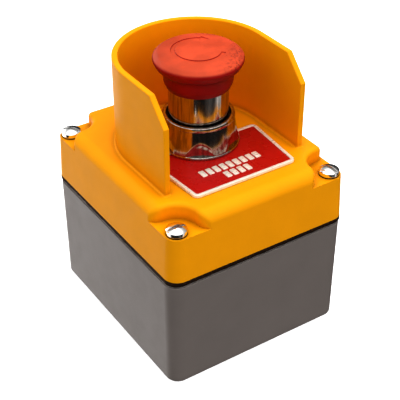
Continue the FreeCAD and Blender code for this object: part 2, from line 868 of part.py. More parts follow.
def bezel_nut():
    """Chromed ring nut: flanged foot, conical body with six spanner flats, rolled lip."""
    body = new_body("bezel_nut", on_axis=True)
    bore = D.thread_radius + D.thread_gap
    shoulder = PLATE_LEVEL + D.bezel_foot_height
    lip_underside = D.bezel_level - D.bezel_lip_height
    section = sketch_on(body, "XZ_Plane")
    outline(
        section,
        [
            (bore, PLATE_LEVEL),
            (D.bezel_foot_radius, PLATE_LEVEL),
            (D.bezel_foot_radius, shoulder),
            (D.bezel_top_radius, D.bezel_level),
            (D.bezel_lip_radius, D.bezel_level),
            (D.bezel_lip_radius, lip_underside),
            (bore, lip_underside),
        ],
    )
    revolve(body, section)
    flats = sketch_on(body, "XY_Plane", shoulder)
    circle(flats, D.housing_radius)
    hexagon(flats, D.bezel_flat_half)
    pocket(body, flats, D.bezel_level - shoulder, up=True)
    fillet(body, D.bezel_round, lambda box: lies_at(box, D.bezel_level))
    outside = D.bezel_top_radius.value
    fillet(body, D.bezel_round, lambda box: lies_at(box, PLATE_LEVEL) and box.XMax > outside)
    return finish_node(body, "bezel_nut")


def operator_body():
    """Barrel through the lid, with a shoulder below, a thick web that guides the cam, and a chamber."""
    body = new_body("operator_body", on_axis=True)
    section = sketch_on(body, "XZ_Plane")
    outline(
        section,
        [
            (D.chamber_radius, D.housing_underside),
            (D.housing_radius, D.housing_underside),
            (D.housing_radius, SHOULDER_LEVEL),
            (D.thread_radius, SHOULDER_LEVEL),
            (D.thread_radius, D.barrel_level),
            (D.barrel_bore, D.barrel_level),
            (D.barrel_bore, D.web_level),
            (D.web_bore, D.web_level),
            (D.web_bore, D.web_underside),
            (D.chamber_radius, D.web_underside),
        ],
    )
    revolve(body, section)
    pins = sketch_on(body, "XZ_Plane")
    circle(pins, D.latch_pin_radius + D.running_gap, 0, D.latch_level)
    pocket(body, pins, THROUGH, both_ways=True)
    holes = sketch_on(body, "XY_Plane", D.housing_underside)
    for side in (-1, 1):
        circle(holes, D.small_screw_radius + D.running_gap, carrier_screw_place() * side, 0)
    pocket(body, holes, D.carrier_thick * 2, up=True)
    return finish_node(body, "operator_body")


def carrier_screw_place():
    """Middle of the chamber's wall, where the carrier's screws go."""
    return (D.chamber_radius + D.housing_radius) * 0.5


def panel_gasket():
    """Rubber ring between the operator's shoulder and the underside of the lid."""
    return finish_node(
        ring(D.housing_radius, D.panel_hole_radius, D.panel_gasket_thick, 0, -D.axis_back, SHOULDER_LEVEL),
        "panel_gasket",
    )


def wiper_seal():
    """Black rubber wiper in the gap between bezel and sleeve."""
    outer = D.bezel_lip_radius - D.running_gap
    inner = D.sleeve_radius + D.running_gap
    height = D.wiper_level - D.barrel_level
    return finish_node(ring(outer, inner, height, 0, -D.axis_back, D.barrel_level), "wiper_seal")


def latch_plugs():
    """Two short set screws that close the latch pin bores."""
    plugs = []
    for side in (-1, 1):
        plug = doc.addObject("Part::Cylinder", "Plug")
        bind(plug, "Radius", D.latch_pin_radius)
        bind(plug, "Height", D.latch_lift)
        plug.Placement.Rotation = FreeCAD.Rotation(FreeCAD.Vector(1, 0, 0), -90.0 * side)
        outer_face = D.housing_radius - D.head_sink
        place(plug, 0, -D.axis_back + (outer_face - D.latch_lift) * side, D.latch_level)
        plugs.append(plug)
    return finish_node(group(plugs), "latch_plugs")


def contact_carrier():
    """Plate screwed under the operator that carries both contact blocks."""
    body = new_body("contact_carrier", on_axis=True)
    base = sketch_on(body, "XY_Plane", BLOCK_LEVEL)
    rectangle(base, D.carrier_half, D.carrier_half)
    pad(body, base, D.carrier_thick)
    fillet(body, D.inner_round, is_upright)
    windows = sketch_on(body, "XY_Plane", D.housing_underside)
    for side in (-1, 1):
        half = D.plunger_half + D.running_gap * 4
        rectangle(windows, half, half, D.block_offset * side, 0)
    pocket(body, windows, D.carrier_thick * 2)
    holes = sketch_on(body, "XY_Plane", D.housing_underside)
    heads = sketch_on(body, "XY_Plane", BLOCK_LEVEL)
    for side in (-1, 1):
        circle(holes, D.small_screw_radius + D.running_gap, carrier_screw_place() * side, 0)
        circle(holes, D.small_screw_radius + D.running_gap, block_screw_across() * side, block_screw_along())
        circle(heads, D.small_head_radius + D.running_gap * 4, carrier_screw_place() * side, 0)
    pocket(body, holes, D.carrier_thick * 2)
    pocket(body, heads, D.small_head_height + D.head_sink, up=True)
    return finish_node(body, "contact_carrier")


def block_screw_across():
    """The block screws stand near the blocks' inner sides, clear of the contact strips."""
    return D.block_offset - D.block_half_width + D.small_head_radius


def block_screw_along():
    """The block screws stand in the blocks' end walls."""
    return D.block_half_length - D.small_head_radius


def small_screw(x, y, seat, length):
    """A small screw driven upwards from below its seat."""
    body = screw(D.small_screw_radius, length, D.small_head_radius, D.small_head_height)
    turned(body, x, -D.axis_back + y, seat, upside_down=True)
    return body


def carrier_screws():
    """Two screws that hold the carrier to the operator, their heads sunk in its underside."""
    seat = BLOCK_LEVEL + D.small_head_height + D.head_sink
    length = D.carrier_thick * 2
    screws = [small_screw(carrier_screw_place() * side, 0, seat, length) for side in (-1, 1)]
    return finish_node(group(screws), "carrier_screws")


def block_screws():
    """One long screw through each contact block into the carrier."""
    length = D.housing_underside - D.block_underside - D.screw_tip_gap
    screws = []
    for side in (-1, 1):
        across = block_screw_across() * side
        screws.append(small_screw(across, block_screw_along(), D.block_underside, length))
    return finish_node(group(screws), "block_screws")


# ------------------------------------------------------------------ button: moving pieces


def mushroom_head():
    """Domed red head with a rounded rim, a waisted underside and a tapered skirt over the sleeve."""
    body = new_body("mushroom_head", on_axis=True)
    section = sketch_on(body, "XZ_Plane")
    bore = D.sleeve_radius + D.running_gap
    outline(
        section,
        [
            (bore, D.skirt_level),
            (D.skirt_foot_radius, D.skirt_level),
            (D.skirt_radius, D.skirt_taper_level),
            (D.skirt_radius, D.skirt_top_level),
            (D.under_rim_radius, D.under_rim_level),
            (D.rim_radius, D.rim_level, D.rim_lower_arc, 1),
            (D.shoulder_radius, D.shoulder_level, D.rim_upper_arc, 1),
            (0, D.crown_level, D.crown_arc, 1),
            (0, D.head_cavity_level),
            (D.head_cavity_radius, D.head_cavity_level),
            (D.head_cavity_radius, D.sleeve_level),
            (bore, D.sleeve_level),
        ],
    )
    revolve(body, section)
    cavity_edge = D.head_cavity_radius.value
    fillet(body, D.neck_round, lambda box: lies_at(box, D.skirt_top_level) and box.XMax > cavity_edge)
    arrow = sketch_on(body, "XY_Plane", D.crown_level)
    turning_arrow(arrow)
    dome_drop = D.crown_level - D.shoulder_level
    pocket(body, arrow, D.arrow_depth + dome_drop * CROWN_SHARE_AT_ARROW)
    return finish_node(body, "mushroom_head")


def on_circle(radius, angle):
    """Sheet position at a radius and a fixed angle in degrees."""
    turn = math.radians(angle)
    return radius * math.cos(turn), radius * math.sin(turn)


def turning_arrow(sketch):
    """A band that runs clockwise, seen from above, from its tail to a pointed head."""
    tail = D.arrow_tail_angle.value
    neck = D.arrow_neck_angle.value
    tip = D.arrow_tip_angle.value
    half_way = (neck + tail + 360.0) / 2
    middle = (D.arrow_inner + D.arrow_outer) * 0.5
    outline(
        sketch,
        [
            on_circle(D.arrow_inner, tail),
            (*on_circle(D.arrow_inner, half_way), D.arrow_inner, -1),
            (*on_circle(D.arrow_inner, neck), D.arrow_inner, -1),
            on_circle(D.arrow_inner - D.arrow_barb, neck),
            on_circle(middle, tip),
            on_circle(D.arrow_outer + D.arrow_barb, neck),
            on_circle(D.arrow_outer, neck),
            (*on_circle(D.arrow_outer, half_way), D.arrow_outer, 1),
            (*on_circle(D.arrow_outer, tail), D.arrow_outer, 1),
        ],
    )


def head_sleeve():
    """Chromed tube fixed in the head's skirt that slides in the barrel."""
    body = new_body("head_sleeve", on_axis=True)
    section = sketch_on(body, "XZ_Plane")
    foot, crown = D.sleeve_underside, D.sleeve_level - D.running_gap
    outline(
        section,
        [(D.sleeve_bore, foot), (D.sleeve_radius, foot), (D.sleeve_radius, crown), (D.sleeve_bore, crown)],
    )
    revolve(body, section)
    return finish_node(body, "head_sleeve")


def release_cam():
    """Disc fixed in the sleeve, with a tube and two ramped fingers that lift the latch pins as it turns."""
    body = new_body("release_cam", on_axis=True)
    section = sketch_on(body, "XZ_Plane")
    disc_foot = D.cam_disc_level - D.cam_disc_thick
    disc_radius = D.sleeve_bore - D.running_gap
    outline(
        section,
        [
            (D.cam_bore, D.cam_tube_underside),
            (D.cam_radius, D.cam_tube_underside),
            (D.cam_radius, disc_foot),
            (disc_radius, disc_foot),
            (disc_radius, D.cam_disc_level),
            (D.cam_bore, D.cam_disc_level),
        ],
    )
    revolve(body, section)
    fingers = sketch_on(body, "XY_Plane", D.cam_finger_underside)
    lift_angle = D.release_turn.value
    ramp_start = lift_angle * 0.5
    crest_end = lift_angle + D.cam_crest_angle.value
    half_way = (ramp_start + lift_angle) / 2
    for pin_angle in (90.0, 270.0):
        start = on_circle(D.cam_bore, pin_angle + ramp_start)
        end = on_circle(D.cam_bore, pin_angle + crest_end)
        outline(
            fingers,
            [
                on_circle((D.cam_bore + D.cam_radius) * 0.5, pin_angle + half_way),
                on_circle(D.cam_radius, pin_angle + lift_angle),
                (*on_circle(D.cam_radius, pin_angle + crest_end), D.cam_radius, 1),
                end,
                (*start, D.cam_bore, -1),
            ],
        )
    pad(body, fingers, D.cam_tube_underside - D.cam_finger_underside)
    return finish_node(body, "release_cam")


def plunger_shaft():
    """Steel shaft with a relief for the latch pins, a clip groove and a threaded hole in its foot."""
    body = new_body("plunger_shaft", on_axis=True)
    section = sketch_on(body, "XZ_Plane")
    hole = D.pusher_screw_radius + D.running_gap
    relief_foot = D.latch_level - D.latch_pin_radius - D.relief_margin
    relief_top = D.latch_level + D.latch_pin_radius + D.travel + D.relief_margin
    groove_top = D.cam_disc_level + D.clip_thick + D.running_gap * 2
    outline(
        section,
        [
            (hole, D.shaft_underside),
            (D.shaft_radius, D.shaft_underside),
            (D.shaft_radius, relief_foot),
            (D.shaft_neck_radius, relief_foot),
            (D.shaft_neck_radius, relief_top),
            (D.shaft_radius, relief_top),
            (D.shaft_radius, D.cam_disc_level),
            (D.clip_groove_radius, D.cam_disc_level),
            (D.clip_groove_radius, groove_top),
            (D.shaft_radius, groove_top),
            (D.shaft_radius, D.shaft_level),
            (0, D.shaft_level),
            (0, D.shaft_underside + D.pusher_screw_length),
            (hole, D.shaft_underside + D.pusher_screw_length),
        ],
    )
    revolve(body, section)
    return finish_node(body, "plunger_shaft")


def shaft_clip():
    """Spring steel clip in the shaft's groove, open on one side."""
    inner = D.clip_groove_radius + D.running_gap
    foot = D.cam_disc_level + D.running_gap
    whole = ring(D.clip_radius, inner, D.clip_thick, 0, -D.axis_back, foot)
    gap_half = D.clip_gap_width * 0.5
    gap = block(D.clip_radius, gap_half, D.clip_thick * 3, D.clip_radius, -D.axis_back, foot - D.clip_thick)
    return finish_node(cut(whole, gap), "shaft_clip")


def pusher_plate():
    """Disc screwed under the shaft that presses both contact plungers."""
    hole = D.pusher_screw_radius + D.running_gap
    return finish_node(
        ring(D.pusher_radius, hole, D.pusher_thick, 0, -D.axis_back, PUSHER_UNDERSIDE), "pusher_plate"
    )


def pusher_screw():
    """Screw up through the pusher plate into the shaft."""
    length = D.pusher_thick + D.pusher_screw_length - D.screw_tip_gap
    body = screw(D.pusher_screw_radius, length, D.terminal_head_radius, D.small_head_height)
    turned(body, 0, -D.axis_back, PUSHER_UNDERSIDE, upside_down=True)
    return finish_node(body, "pusher_screw")


def latch_pin(name, side):
    """Round-nosed pin that slides in a radial bore of the web."""
    barrel = doc.addObject("Part::Cylinder", "Pin")
    bind(barrel, "Radius", D.latch_pin_radius)
    bind(barrel, "Height", D.latch_pin_length - D.latch_pin_radius)
    barrel.Placement.Rotation = FreeCAD.Rotation(FreeCAD.Vector(1, 0, 0), -90.0 * side)
    nose_centre = D.latch_pin_reach + D.latch_pin_radius
    place(barrel, 0, -D.axis_back + nose_centre * side, D.latch_level)
    nose = doc.addObject("Part::Sphere", "Nose")
    bind(nose, "Radius", D.latch_pin_radius)
    place(nose, 0, -D.axis_back + nose_centre * side, D.latch_level)
    return finish_node(join(barrel, nose), name)


def latch_spring(name, side):
    """Small coil behind a latch pin."""
    start = (D.latch_pin_reach + D.latch_pin_length + D.running_gap).value * side - D.axis_back.value
    placement = FreeCAD.Placement(
        FreeCAD.Vector(0, start, D.latch_level.value), FreeCAD.Rotation(FreeCAD.Vector(1, 0, 0), -90.0 * side)
    )
    return coil(name, D.latch_coil_radius, D.latch_wire_radius, D.latch_spring_length, LATCH_TURNS, placement)


def return_spring():
    """Main coil between the operator's web and the cam's disc."""
    length = D.cam_disc_level - D.cam_disc_thick - D.web_level
    foot = FreeCAD.Vector(0, -D.axis_back.value, D.web_level.value)
    placement = FreeCAD.Placement(foot, FreeCAD.Rotation())
    return coil("return_spring", D.return_coil_radius, D.return_wire_radius, length, RETURN_TURNS, placement)


# ------------------------------------------------------------------ contact blocks


def block_centre(side):
    """Where a contact block stands across the box."""
    return D.block_offset * side


def contact_housing(name, side):
    """Moulded contact block, open on its outer side, with terminal ledges at both ends."""
    body = new_body(name, on_axis=True)
    centre = block_centre(side)
    height = BLOCK_LEVEL - D.block_underside
    base = sketch_on(body, "XY_Plane", D.block_underside)
    open_side = D.cover_thick * side
    middle = centre - open_side * 0.5
    rectangle(base, D.block_half_width - D.cover_thick * 0.5, D.block_half_length, middle, 0)
    pad(body, base, height)
    ledge = sketch_on(body, "XY_Plane", D.contact_level - D.terminal_height)
    ledge_half = D.block_half_width - D.cover_thick
    rectangle(ledge, ledge_half, D.block_half_length + D.terminal_reach, middle, 0)
    pad(body, ledge, D.terminal_height)
    cavity = sketch_on(body, "XY_Plane", D.block_underside + D.block_floor)
    inner_half = D.block_half_width - D.block_wall
    rectangle(cavity, inner_half, D.block_half_length - D.block_end_wall, centre + open_side, 0)
    pocket(body, cavity, height - D.block_floor - D.block_roof, up=True)
    opening = sketch_on(body, "XY_Plane", BLOCK_LEVEL)
    rectangle(opening, D.plunger_half + D.running_gap * 2, D.plunger_half + D.running_gap * 2, centre, 0)
    pocket(body, opening, D.block_roof * 2)
    strips = sketch_on(body, "XY_Plane", D.contact_level)
    strip_half = D.contact_half_width + D.running_gap
    rectangle(strips, strip_half, D.block_half_length + D.root_depth, centre, 0)
    pocket(body, strips, D.contact_thick + D.running_gap * 2, up=True)
    holes = sketch_on(body, "XY_Plane", D.contact_level)
    for end in (-1, 1):
        circle(holes, D.terminal_screw_radius + D.running_gap, centre, terminal_place() * end)
    pocket(body, holes, D.terminal_height * 2)
    fixing = sketch_on(body, "XY_Plane", BLOCK_LEVEL)
    circle(fixing, D.small_screw_radius + D.running_gap, block_screw_across() * side, block_screw_along())
    pocket(body, fixing, height * 2)
    return finish_node(body, name)


def terminal_place():
    """How far along from the button's axis the terminal screws stand."""
    return D.block_half_length + D.terminal_reach * 0.5


def contact_cover(name, side):
    """Flat cover on the outer side of a contact block."""
    half = (D.cover_thick - D.cover_gap) * 0.5
    x = (D.block_offset + D.block_half_width - half) * side
    height = BLOCK_LEVEL - D.block_underside
    return finish_node(block(half, D.block_half_length, height, x, -D.axis_back, D.block_underside), name)


def fixed_contacts(name, side):
    """Two terminal strips with rivets on their undersides."""
    strips = []
    for end in (-1, 1):
        inner, outer = D.contact_inner, D.block_half_length + D.terminal_reach
        middle = (inner + outer) * 0.5
        strip = block(
            D.contact_half_width,
            (outer - inner) * 0.5,
            D.contact_thick,
            block_centre(side),
            -D.axis_back + middle * end,
            D.contact_level,
        )
        rivet = cylinder(
            D.rivet_radius,
            D.rivet_height,
            block_centre(side),
            -D.axis_back + D.rivet_place * end,
            D.contact_level - D.rivet_height,
        )
        hole = cylinder(
            D.terminal_screw_radius + D.running_gap,
            D.contact_thick * 3,
            block_centre(side),
            -D.axis_back + terminal_place() * end,
            D.contact_level - D.contact_thick,
        )
        strips.append(cut(join(strip, rivet), hole))
    return finish_node(group(strips), name)


def contact_bridge(name, side):
    """Moving bridge with a rivet near each end."""
    foot = BRIDGE_LEVEL - D.contact_thick
    pieces = [
        block(
            D.bridge_half_width, D.bridge_half_length, D.contact_thick, block_centre(side), -D.axis_back, foot
        )
    ]
    for end in (-1, 1):
        pieces.append(
            cylinder(
                D.rivet_radius,
                D.rivet_height,
                block_centre(side),
                -D.axis_back + D.rivet_place * end,
                BRIDGE_LEVEL,
            )
        )
    return finish_node(join(*pieces), name)


def contact_plunger(name, side):
    """Square plunger with a window that the bridge passes through."""
    x = block_centre(side)
    height = PLUNGER_LEVEL - D.plunger_underside
    column = block(D.plunger_half, D.plunger_half, height, x, -D.axis_back, D.plunger_underside)
    window = block(
        D.bridge_half_width + D.running_gap,
        D.plunger_half * 2,
        D.contact_thick + D.running_gap * 2,
        x,
        -D.axis_back,
        BRIDGE_LEVEL - D.contact_thick - D.running_gap,
    )
    return finish_node(cut(column, window), name)


def contact_spring(name, side):
    """Coil that holds a contact plunger up."""
    foot = D.block_underside + D.block_floor
    place_of_foot = FreeCAD.Vector(block_centre(side).value, -D.axis_back.value, foot.value)
    placement = FreeCAD.Placement(place_of_foot, FreeCAD.Rotation())
    length = D.plunger_underside - foot
    return coil(name, D.contact_coil_radius, D.contact_wire_radius, length, CONTACT_TURNS, placement)


def at_terminals(build_one):
    """One piece at each of the four terminals."""
    places = [(block_centre(i), -D.axis_back + terminal_place() * j) for i, j in CORNERS]
    return group([build_one(x, y) for x, y in places])


def terminal_clamps():
    """Square saddles that hold the wires."""
    half, thick = D.terminal_head_radius, D.contact_thick
    foot = D.contact_level + D.contact_thick
    hole = D.terminal_screw_radius + D.running_gap

    def clamp(x, y):
        return cut(block(half, half, thick, x, y, foot), cylinder(hole, thick * 3, x, y, foot - thick))

    return finish_node(at_terminals(clamp), "terminal_clamps")


def terminal_screw(x, y, seat, length):
    """A slotted screw driven downwards at a terminal."""
    body = screw(D.terminal_screw_radius, length, D.terminal_head_radius, D.terminal_head_height)
    turned(body, x, y, seat)
    return body


def terminal_screws():
    """The four screws that press the clamps onto the wires."""
    seat = D.contact_level + D.contact_thick * 2
    length = D.terminal_height + D.contact_thick
    return finish_node(at_terminals(lambda x, y: terminal_screw(x, y, seat, length)), "terminal_screws")


def earth_terminal():
    """Earth screw and its cup washer on the floor boss."""
    boss_level = D.box_floor + D.earth_boss_height
    hole = D.terminal_screw_radius + D.running_gap
    washer = ring(D.earth_boss_radius, hole, D.contact_thick, D.earth_across, D.earth_along, boss_level)
    finish_node(washer, "earth_washer")
    seat = boss_level + D.contact_thick
    finish_node(terminal_screw(D.earth_across, D.earth_along, seat, D.earth_boss_height), "earth_screw")


# ------------------------------------------------------------------ build, check and write


def build_all():
    """Every sub-part, from the box up and then inwards."""
    base_box()
    lid_gasket()
    lid()
    corner_group("lid_screws", lid_screw)
    corner_group("lid_screw_washers", lid_screw_washer)
    corner_group("threaded_inserts", threaded_insert)
    legend_plate()
    bezel_nut()
    operator_body()
    panel_gasket()
    wiper_seal()
    latch_plugs()
    contact_carrier()
    carrier_screws()
    block_screws()
    mushroom_head()
    head_sleeve()
    release_cam()
    plunger_shaft()
    shaft_clip()
    pusher_plate()
    pusher_screw()
    return_spring()
    for name, side in (("front", -1), ("rear", 1)):
        latch_pin(f"latch_pin_{name}", side)
        latch_spring(f"latch_spring_{name}", side)
    for name, side in SIDES.items():
        contact_housing(f"contact_housing_{name}", side)
        contact_cover(f"contact_cover_{name}", side)
        fixed_contacts(f"fixed_contacts_{name}", side)
        contact_bridge(f"contact_bridge_{name}", side)
        contact_plunger(f"contact_plunger_{name}", side)
        contact_spring(f"contact_spring_{name}", side)
    terminal_clamps()
    terminal_screws()
    earth_terminal()


def check_all():
    """Stops before anything is written if any object failed to recompute."""
    doc.recompute()
    for thing in doc.Objects:
        if "Invalid" in thing.State or "Error" in thing.State:
            raise RuntimeError(f"{thing.Name} ({thing.Label}) is {thing.State}")
    for name, thing in nodes.items():
        if thing.Shape.isNull() or not thing.Shape.isValid():
            raise RuntimeError(f"{name} has no valid shape")


build_all()
check_all()
os.makedirs("parts", exist_ok=True)
for node_name, node in nodes.items():
    node.Shape.exportStep(f"parts/{node_name}.step")
    print(f"{node_name}: {len(node.Shape.Solids)} solid(s), {node.Shape.Volume:.1f} mm3")
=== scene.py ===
"""Looks of the emergency stop station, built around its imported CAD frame."""

import math

import bmesh
import bpy
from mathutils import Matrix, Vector, noise


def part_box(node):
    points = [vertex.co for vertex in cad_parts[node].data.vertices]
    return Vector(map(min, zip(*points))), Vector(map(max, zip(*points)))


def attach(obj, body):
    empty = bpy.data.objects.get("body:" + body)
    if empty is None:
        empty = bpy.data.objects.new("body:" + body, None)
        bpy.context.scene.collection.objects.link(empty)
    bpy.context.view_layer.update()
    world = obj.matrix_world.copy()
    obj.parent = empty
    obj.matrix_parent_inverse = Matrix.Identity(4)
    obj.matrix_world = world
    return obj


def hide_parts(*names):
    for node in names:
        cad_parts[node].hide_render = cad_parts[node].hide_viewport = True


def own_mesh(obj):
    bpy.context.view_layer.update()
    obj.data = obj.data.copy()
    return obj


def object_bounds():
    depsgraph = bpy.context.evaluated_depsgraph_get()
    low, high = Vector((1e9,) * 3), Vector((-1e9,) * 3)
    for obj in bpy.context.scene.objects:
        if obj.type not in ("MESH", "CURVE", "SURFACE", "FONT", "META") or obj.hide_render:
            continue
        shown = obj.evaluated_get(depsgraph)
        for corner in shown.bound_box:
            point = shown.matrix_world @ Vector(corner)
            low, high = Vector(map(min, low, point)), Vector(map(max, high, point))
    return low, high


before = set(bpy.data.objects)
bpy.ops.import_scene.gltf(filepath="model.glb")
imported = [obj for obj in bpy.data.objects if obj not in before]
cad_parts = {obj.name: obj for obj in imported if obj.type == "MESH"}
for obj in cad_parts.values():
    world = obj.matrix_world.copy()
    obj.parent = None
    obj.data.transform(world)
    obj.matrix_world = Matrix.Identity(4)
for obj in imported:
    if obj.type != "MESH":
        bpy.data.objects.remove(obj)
CAD_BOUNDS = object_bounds()

MM = 0.001
AXIS = sum(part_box("head_sleeve"), Vector()) * 0.5
HEAD_LOW, HEAD_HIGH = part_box("mushroom_head")
BEZEL_LOW, BEZEL_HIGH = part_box("bezel_nut")
PLATE_LOW, PLATE_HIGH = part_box("legend_plate")


# ------------------------------------------------------------------ node trees


class Nodes:
    """Builds one material's node tree around a Principled surface."""

    def __init__(self, name):
        self.material = bpy.data.materials.new(name)
        self.material.use_nodes = True
        self.tree = self.material.node_tree
        self.tree.nodes.clear()
        self.surface = self.add("ShaderNodeBsdfPrincipled")
        output = self.add("ShaderNodeOutputMaterial")
        self.link(self.surface.outputs["BSDF"], output.inputs["Surface"])
        self.place = self.add("ShaderNodeTexCoord").outputs["Object"]

    def add(self, kind, **settings):
        """Adds a node and sets its properties."""
        node = self.tree.nodes.new(kind)
        for key, value in settings.items():
            setattr(node, key, value)
        return node

    def link(self, source, target):
        """Links an output to an input."""
        self.tree.links.new(source, target)

    def feed(self, socket, value):
        """Sets a socket to a number or colour, or links it to another node's output."""
        if isinstance(value, bpy.types.NodeSocket):
            self.link(value, socket)
        elif isinstance(value, (tuple, list)) and socket.type == "RGBA" and len(value) == 3:
            socket.default_value = (*value, 1.0)
        else:
            socket.default_value = value

    def stretched(self, scale):
        """The object's own coordinates, scaled along each axis."""
        mapping = self.add("ShaderNodeMapping")
        self.link(self.place, mapping.inputs["Vector"])
        mapping.inputs["Scale"].default_value = scale
        return mapping.outputs["Vector"]

    def noise(self, size, detail=3.0, rough=0.55, place=None, twist=0.0):
        """Noise whose patches are about size metres across."""
        node = self.add("ShaderNodeTexNoise")
        self.link(place or self.place, node.inputs["Vector"])
        node.inputs["Scale"].default_value = 1.0 / size
        node.inputs["Detail"].default_value = detail
        node.inputs["Roughness"].default_value = rough
        node.inputs["Distortion"].default_value = twist
        return node.outputs["Fac"]

    def between(self, value, low, high, start=0.0, end=1.0):
        """Maps value from low..high to start..end, held at both ends."""
        node = self.add("ShaderNodeMapRange", clamp=True, interpolation_type="SMOOTHSTEP")
        self.feed(node.inputs["Value"], value)
        for name, number in (("From Min", low), ("From Max", high), ("To Min", start), ("To Max", end)):
            node.inputs[name].default_value = number
        return node.outputs["Result"]

    def maths(self, operation, first, second=0.0):
        """A sum or product of two numbers."""
        node = self.add("ShaderNodeMath", operation=operation)
        self.feed(node.inputs[0], first)
        self.feed(node.inputs[1], second)
        return node.outputs[0]

    def mixed(self, share, first, second, blend="MIX"):
        """Blends two colours."""
        node = self.add("ShaderNodeMix", data_type="RGBA", blend_type=blend)
        self.feed(node.inputs[0], share)
        self.feed(node.inputs[6], first)
        self.feed(node.inputs[7], second)
        return node.outputs[2]

    def grey(self, value):
        """A grey whose three channels are one value."""
        node = self.add("ShaderNodeCombineColor")
        for channel in node.inputs:
            self.link(value, channel)
        return node.outputs["Color"]

    def facing(self, direction):
        """How far the place lies along a direction from the button's axis, in metres."""
        away = self.add("ShaderNodeVectorMath", operation="SUBTRACT")
        self.link(self.place, away.inputs[0])
        away.inputs[1].default_value = AXIS
        dot = self.add("ShaderNodeVectorMath", operation="DOT_PRODUCT")
        self.link(away.outputs[0], dot.inputs[0])
        dot.inputs[1].default_value = direction
        return dot.outputs["Value"]

    def upward(self):
        """How far the surface faces up, from -1 to 1."""
        node = self.add("ShaderNodeSeparateXYZ")
        self.link(self.add("ShaderNodeNewGeometry").outputs["Normal"], node.inputs[0])
        return node.outputs["Z"]

    def rounded_normal(self, radius):
        """The normal of the surface with its edges softened."""
        bevel = self.add("ShaderNodeBevel", samples=6)
        bevel.inputs["Radius"].default_value = radius
        return bevel.outputs["Normal"]

    def edges(self, radius):
        """Close to 1 on worn edges, 0 on flat faces."""
        dot = self.add("ShaderNodeVectorMath", operation="DOT_PRODUCT")
        self.link(self.rounded_normal(radius), dot.inputs[0])
        self.link(self.add("ShaderNodeNewGeometry").outputs["Normal"], dot.inputs[1])
        return self.between(dot.outputs["Value"], 0.80, 0.995, 1.0, 0.0)

    def hollows(self, reach):
        """Close to 1 in corners and gaps, 0 in the open."""
        node = self.add("ShaderNodeAmbientOcclusion", samples=8)
        node.inputs["Distance"].default_value = reach
        return self.between(node.outputs["AO"], 0.35, 0.95, 1.0, 0.0)

    def bump(self, height, depth, normal=None):
        """Relief of the given depth in metres."""
        node = self.add("ShaderNodeBump")
        node.inputs["Distance"].default_value = depth
        self.link(height, node.inputs["Height"])
        if normal is not None:
            self.link(normal, node.inputs["Normal"])
        return node.outputs["Normal"]

    def finish(self, colour, roughness, normal=None, **others):
        """Feeds the surface and gives the finished material. Others are further inputs, in small letters."""
        self.feed(self.surface.inputs["Base Color"], colour)
        self.feed(self.surface.inputs["Roughness"], roughness)
        if normal is not None:
            self.link(normal, self.surface.inputs["Normal"])
        for name, value in others.items():
            self.feed(self.surface.inputs[name.replace("_", " ").title().replace("Ior", "IOR")], value)
        return self.material


def tinted(colour, factor):
    """A colour made lighter or darker."""
    return tuple(min(1.0, c * factor) for c in colour)


# ------------------------------------------------------------------ materials

# the head's darker side, and the side with the scuffs
FAR_LEFT = Vector((-0.90, 0.44, 0))
NEAR_RIGHT = Vector((0.72, -0.69, 0))


def moulded_plastic(name, colour, roughness, grain, edge_light=1.15, painted_corner_shade=0.25, shine=0.5, painted_bounce_colour=None):
    """Moulded plastic: fine texture, cloudy gloss, paler rubbed edges, painted shade in the corners.

    Grain is the depth of the texture. Edge light is how much paler the rubbed edges are, the corner shade how
    strong the painted shade in the corners is, and shine the strength of the reflections. The bounce colour
    is the deeper colour painted into hollows, most on their walls, for light thrown back inside the same
    plastic.
    """
    soft_edge = 0.35 * MM
    n = Nodes(name)
    cloud = n.noise(14 * MM, detail=4.0)
    fine = n.noise(0.45 * MM, detail=2.0)
    body = n.mixed(cloud, tinted(colour, 0.93), tinted(colour, 1.07))
    specks = n.between(n.noise(1.6 * MM, detail=6.0, rough=0.7), 0.66, 0.74)
    body = n.mixed(n.maths("MULTIPLY", specks, 0.18), body, tinted(colour, 0.55))
    rubbed = n.maths("MULTIPLY", n.edges(soft_edge * 2), n.between(cloud, 0.35, 0.65, 0.1, 0.55))
    body = n.mixed(rubbed, body, tinted(colour, edge_light))
    if painted_bounce_colour is not None:
        # painted bounce light: hollows, most on their walls, take a deeper colour of the same plastic
        upright = n.between(n.upward(), 0.3, 0.95, 0.6, 0.1)
        body = n.mixed(n.maths("MULTIPLY", n.hollows(45.0 * MM), upright), body, painted_bounce_colour)
    # painted shade: corners and gaps darken towards a deeper tone of the same colour
    body = n.mixed(n.maths("MULTIPLY", n.hollows(5.0 * MM), painted_corner_shade), body, tinted(colour, 0.4))
    gloss = n.between(n.noise(6 * MM, detail=5.0), 0.3, 0.7, roughness - 0.02, roughness + 0.03)
    normal = n.bump(fine, grain, n.rounded_normal(soft_edge))
    return n.finish(body, gloss, normal, specular_ior_level=shine)


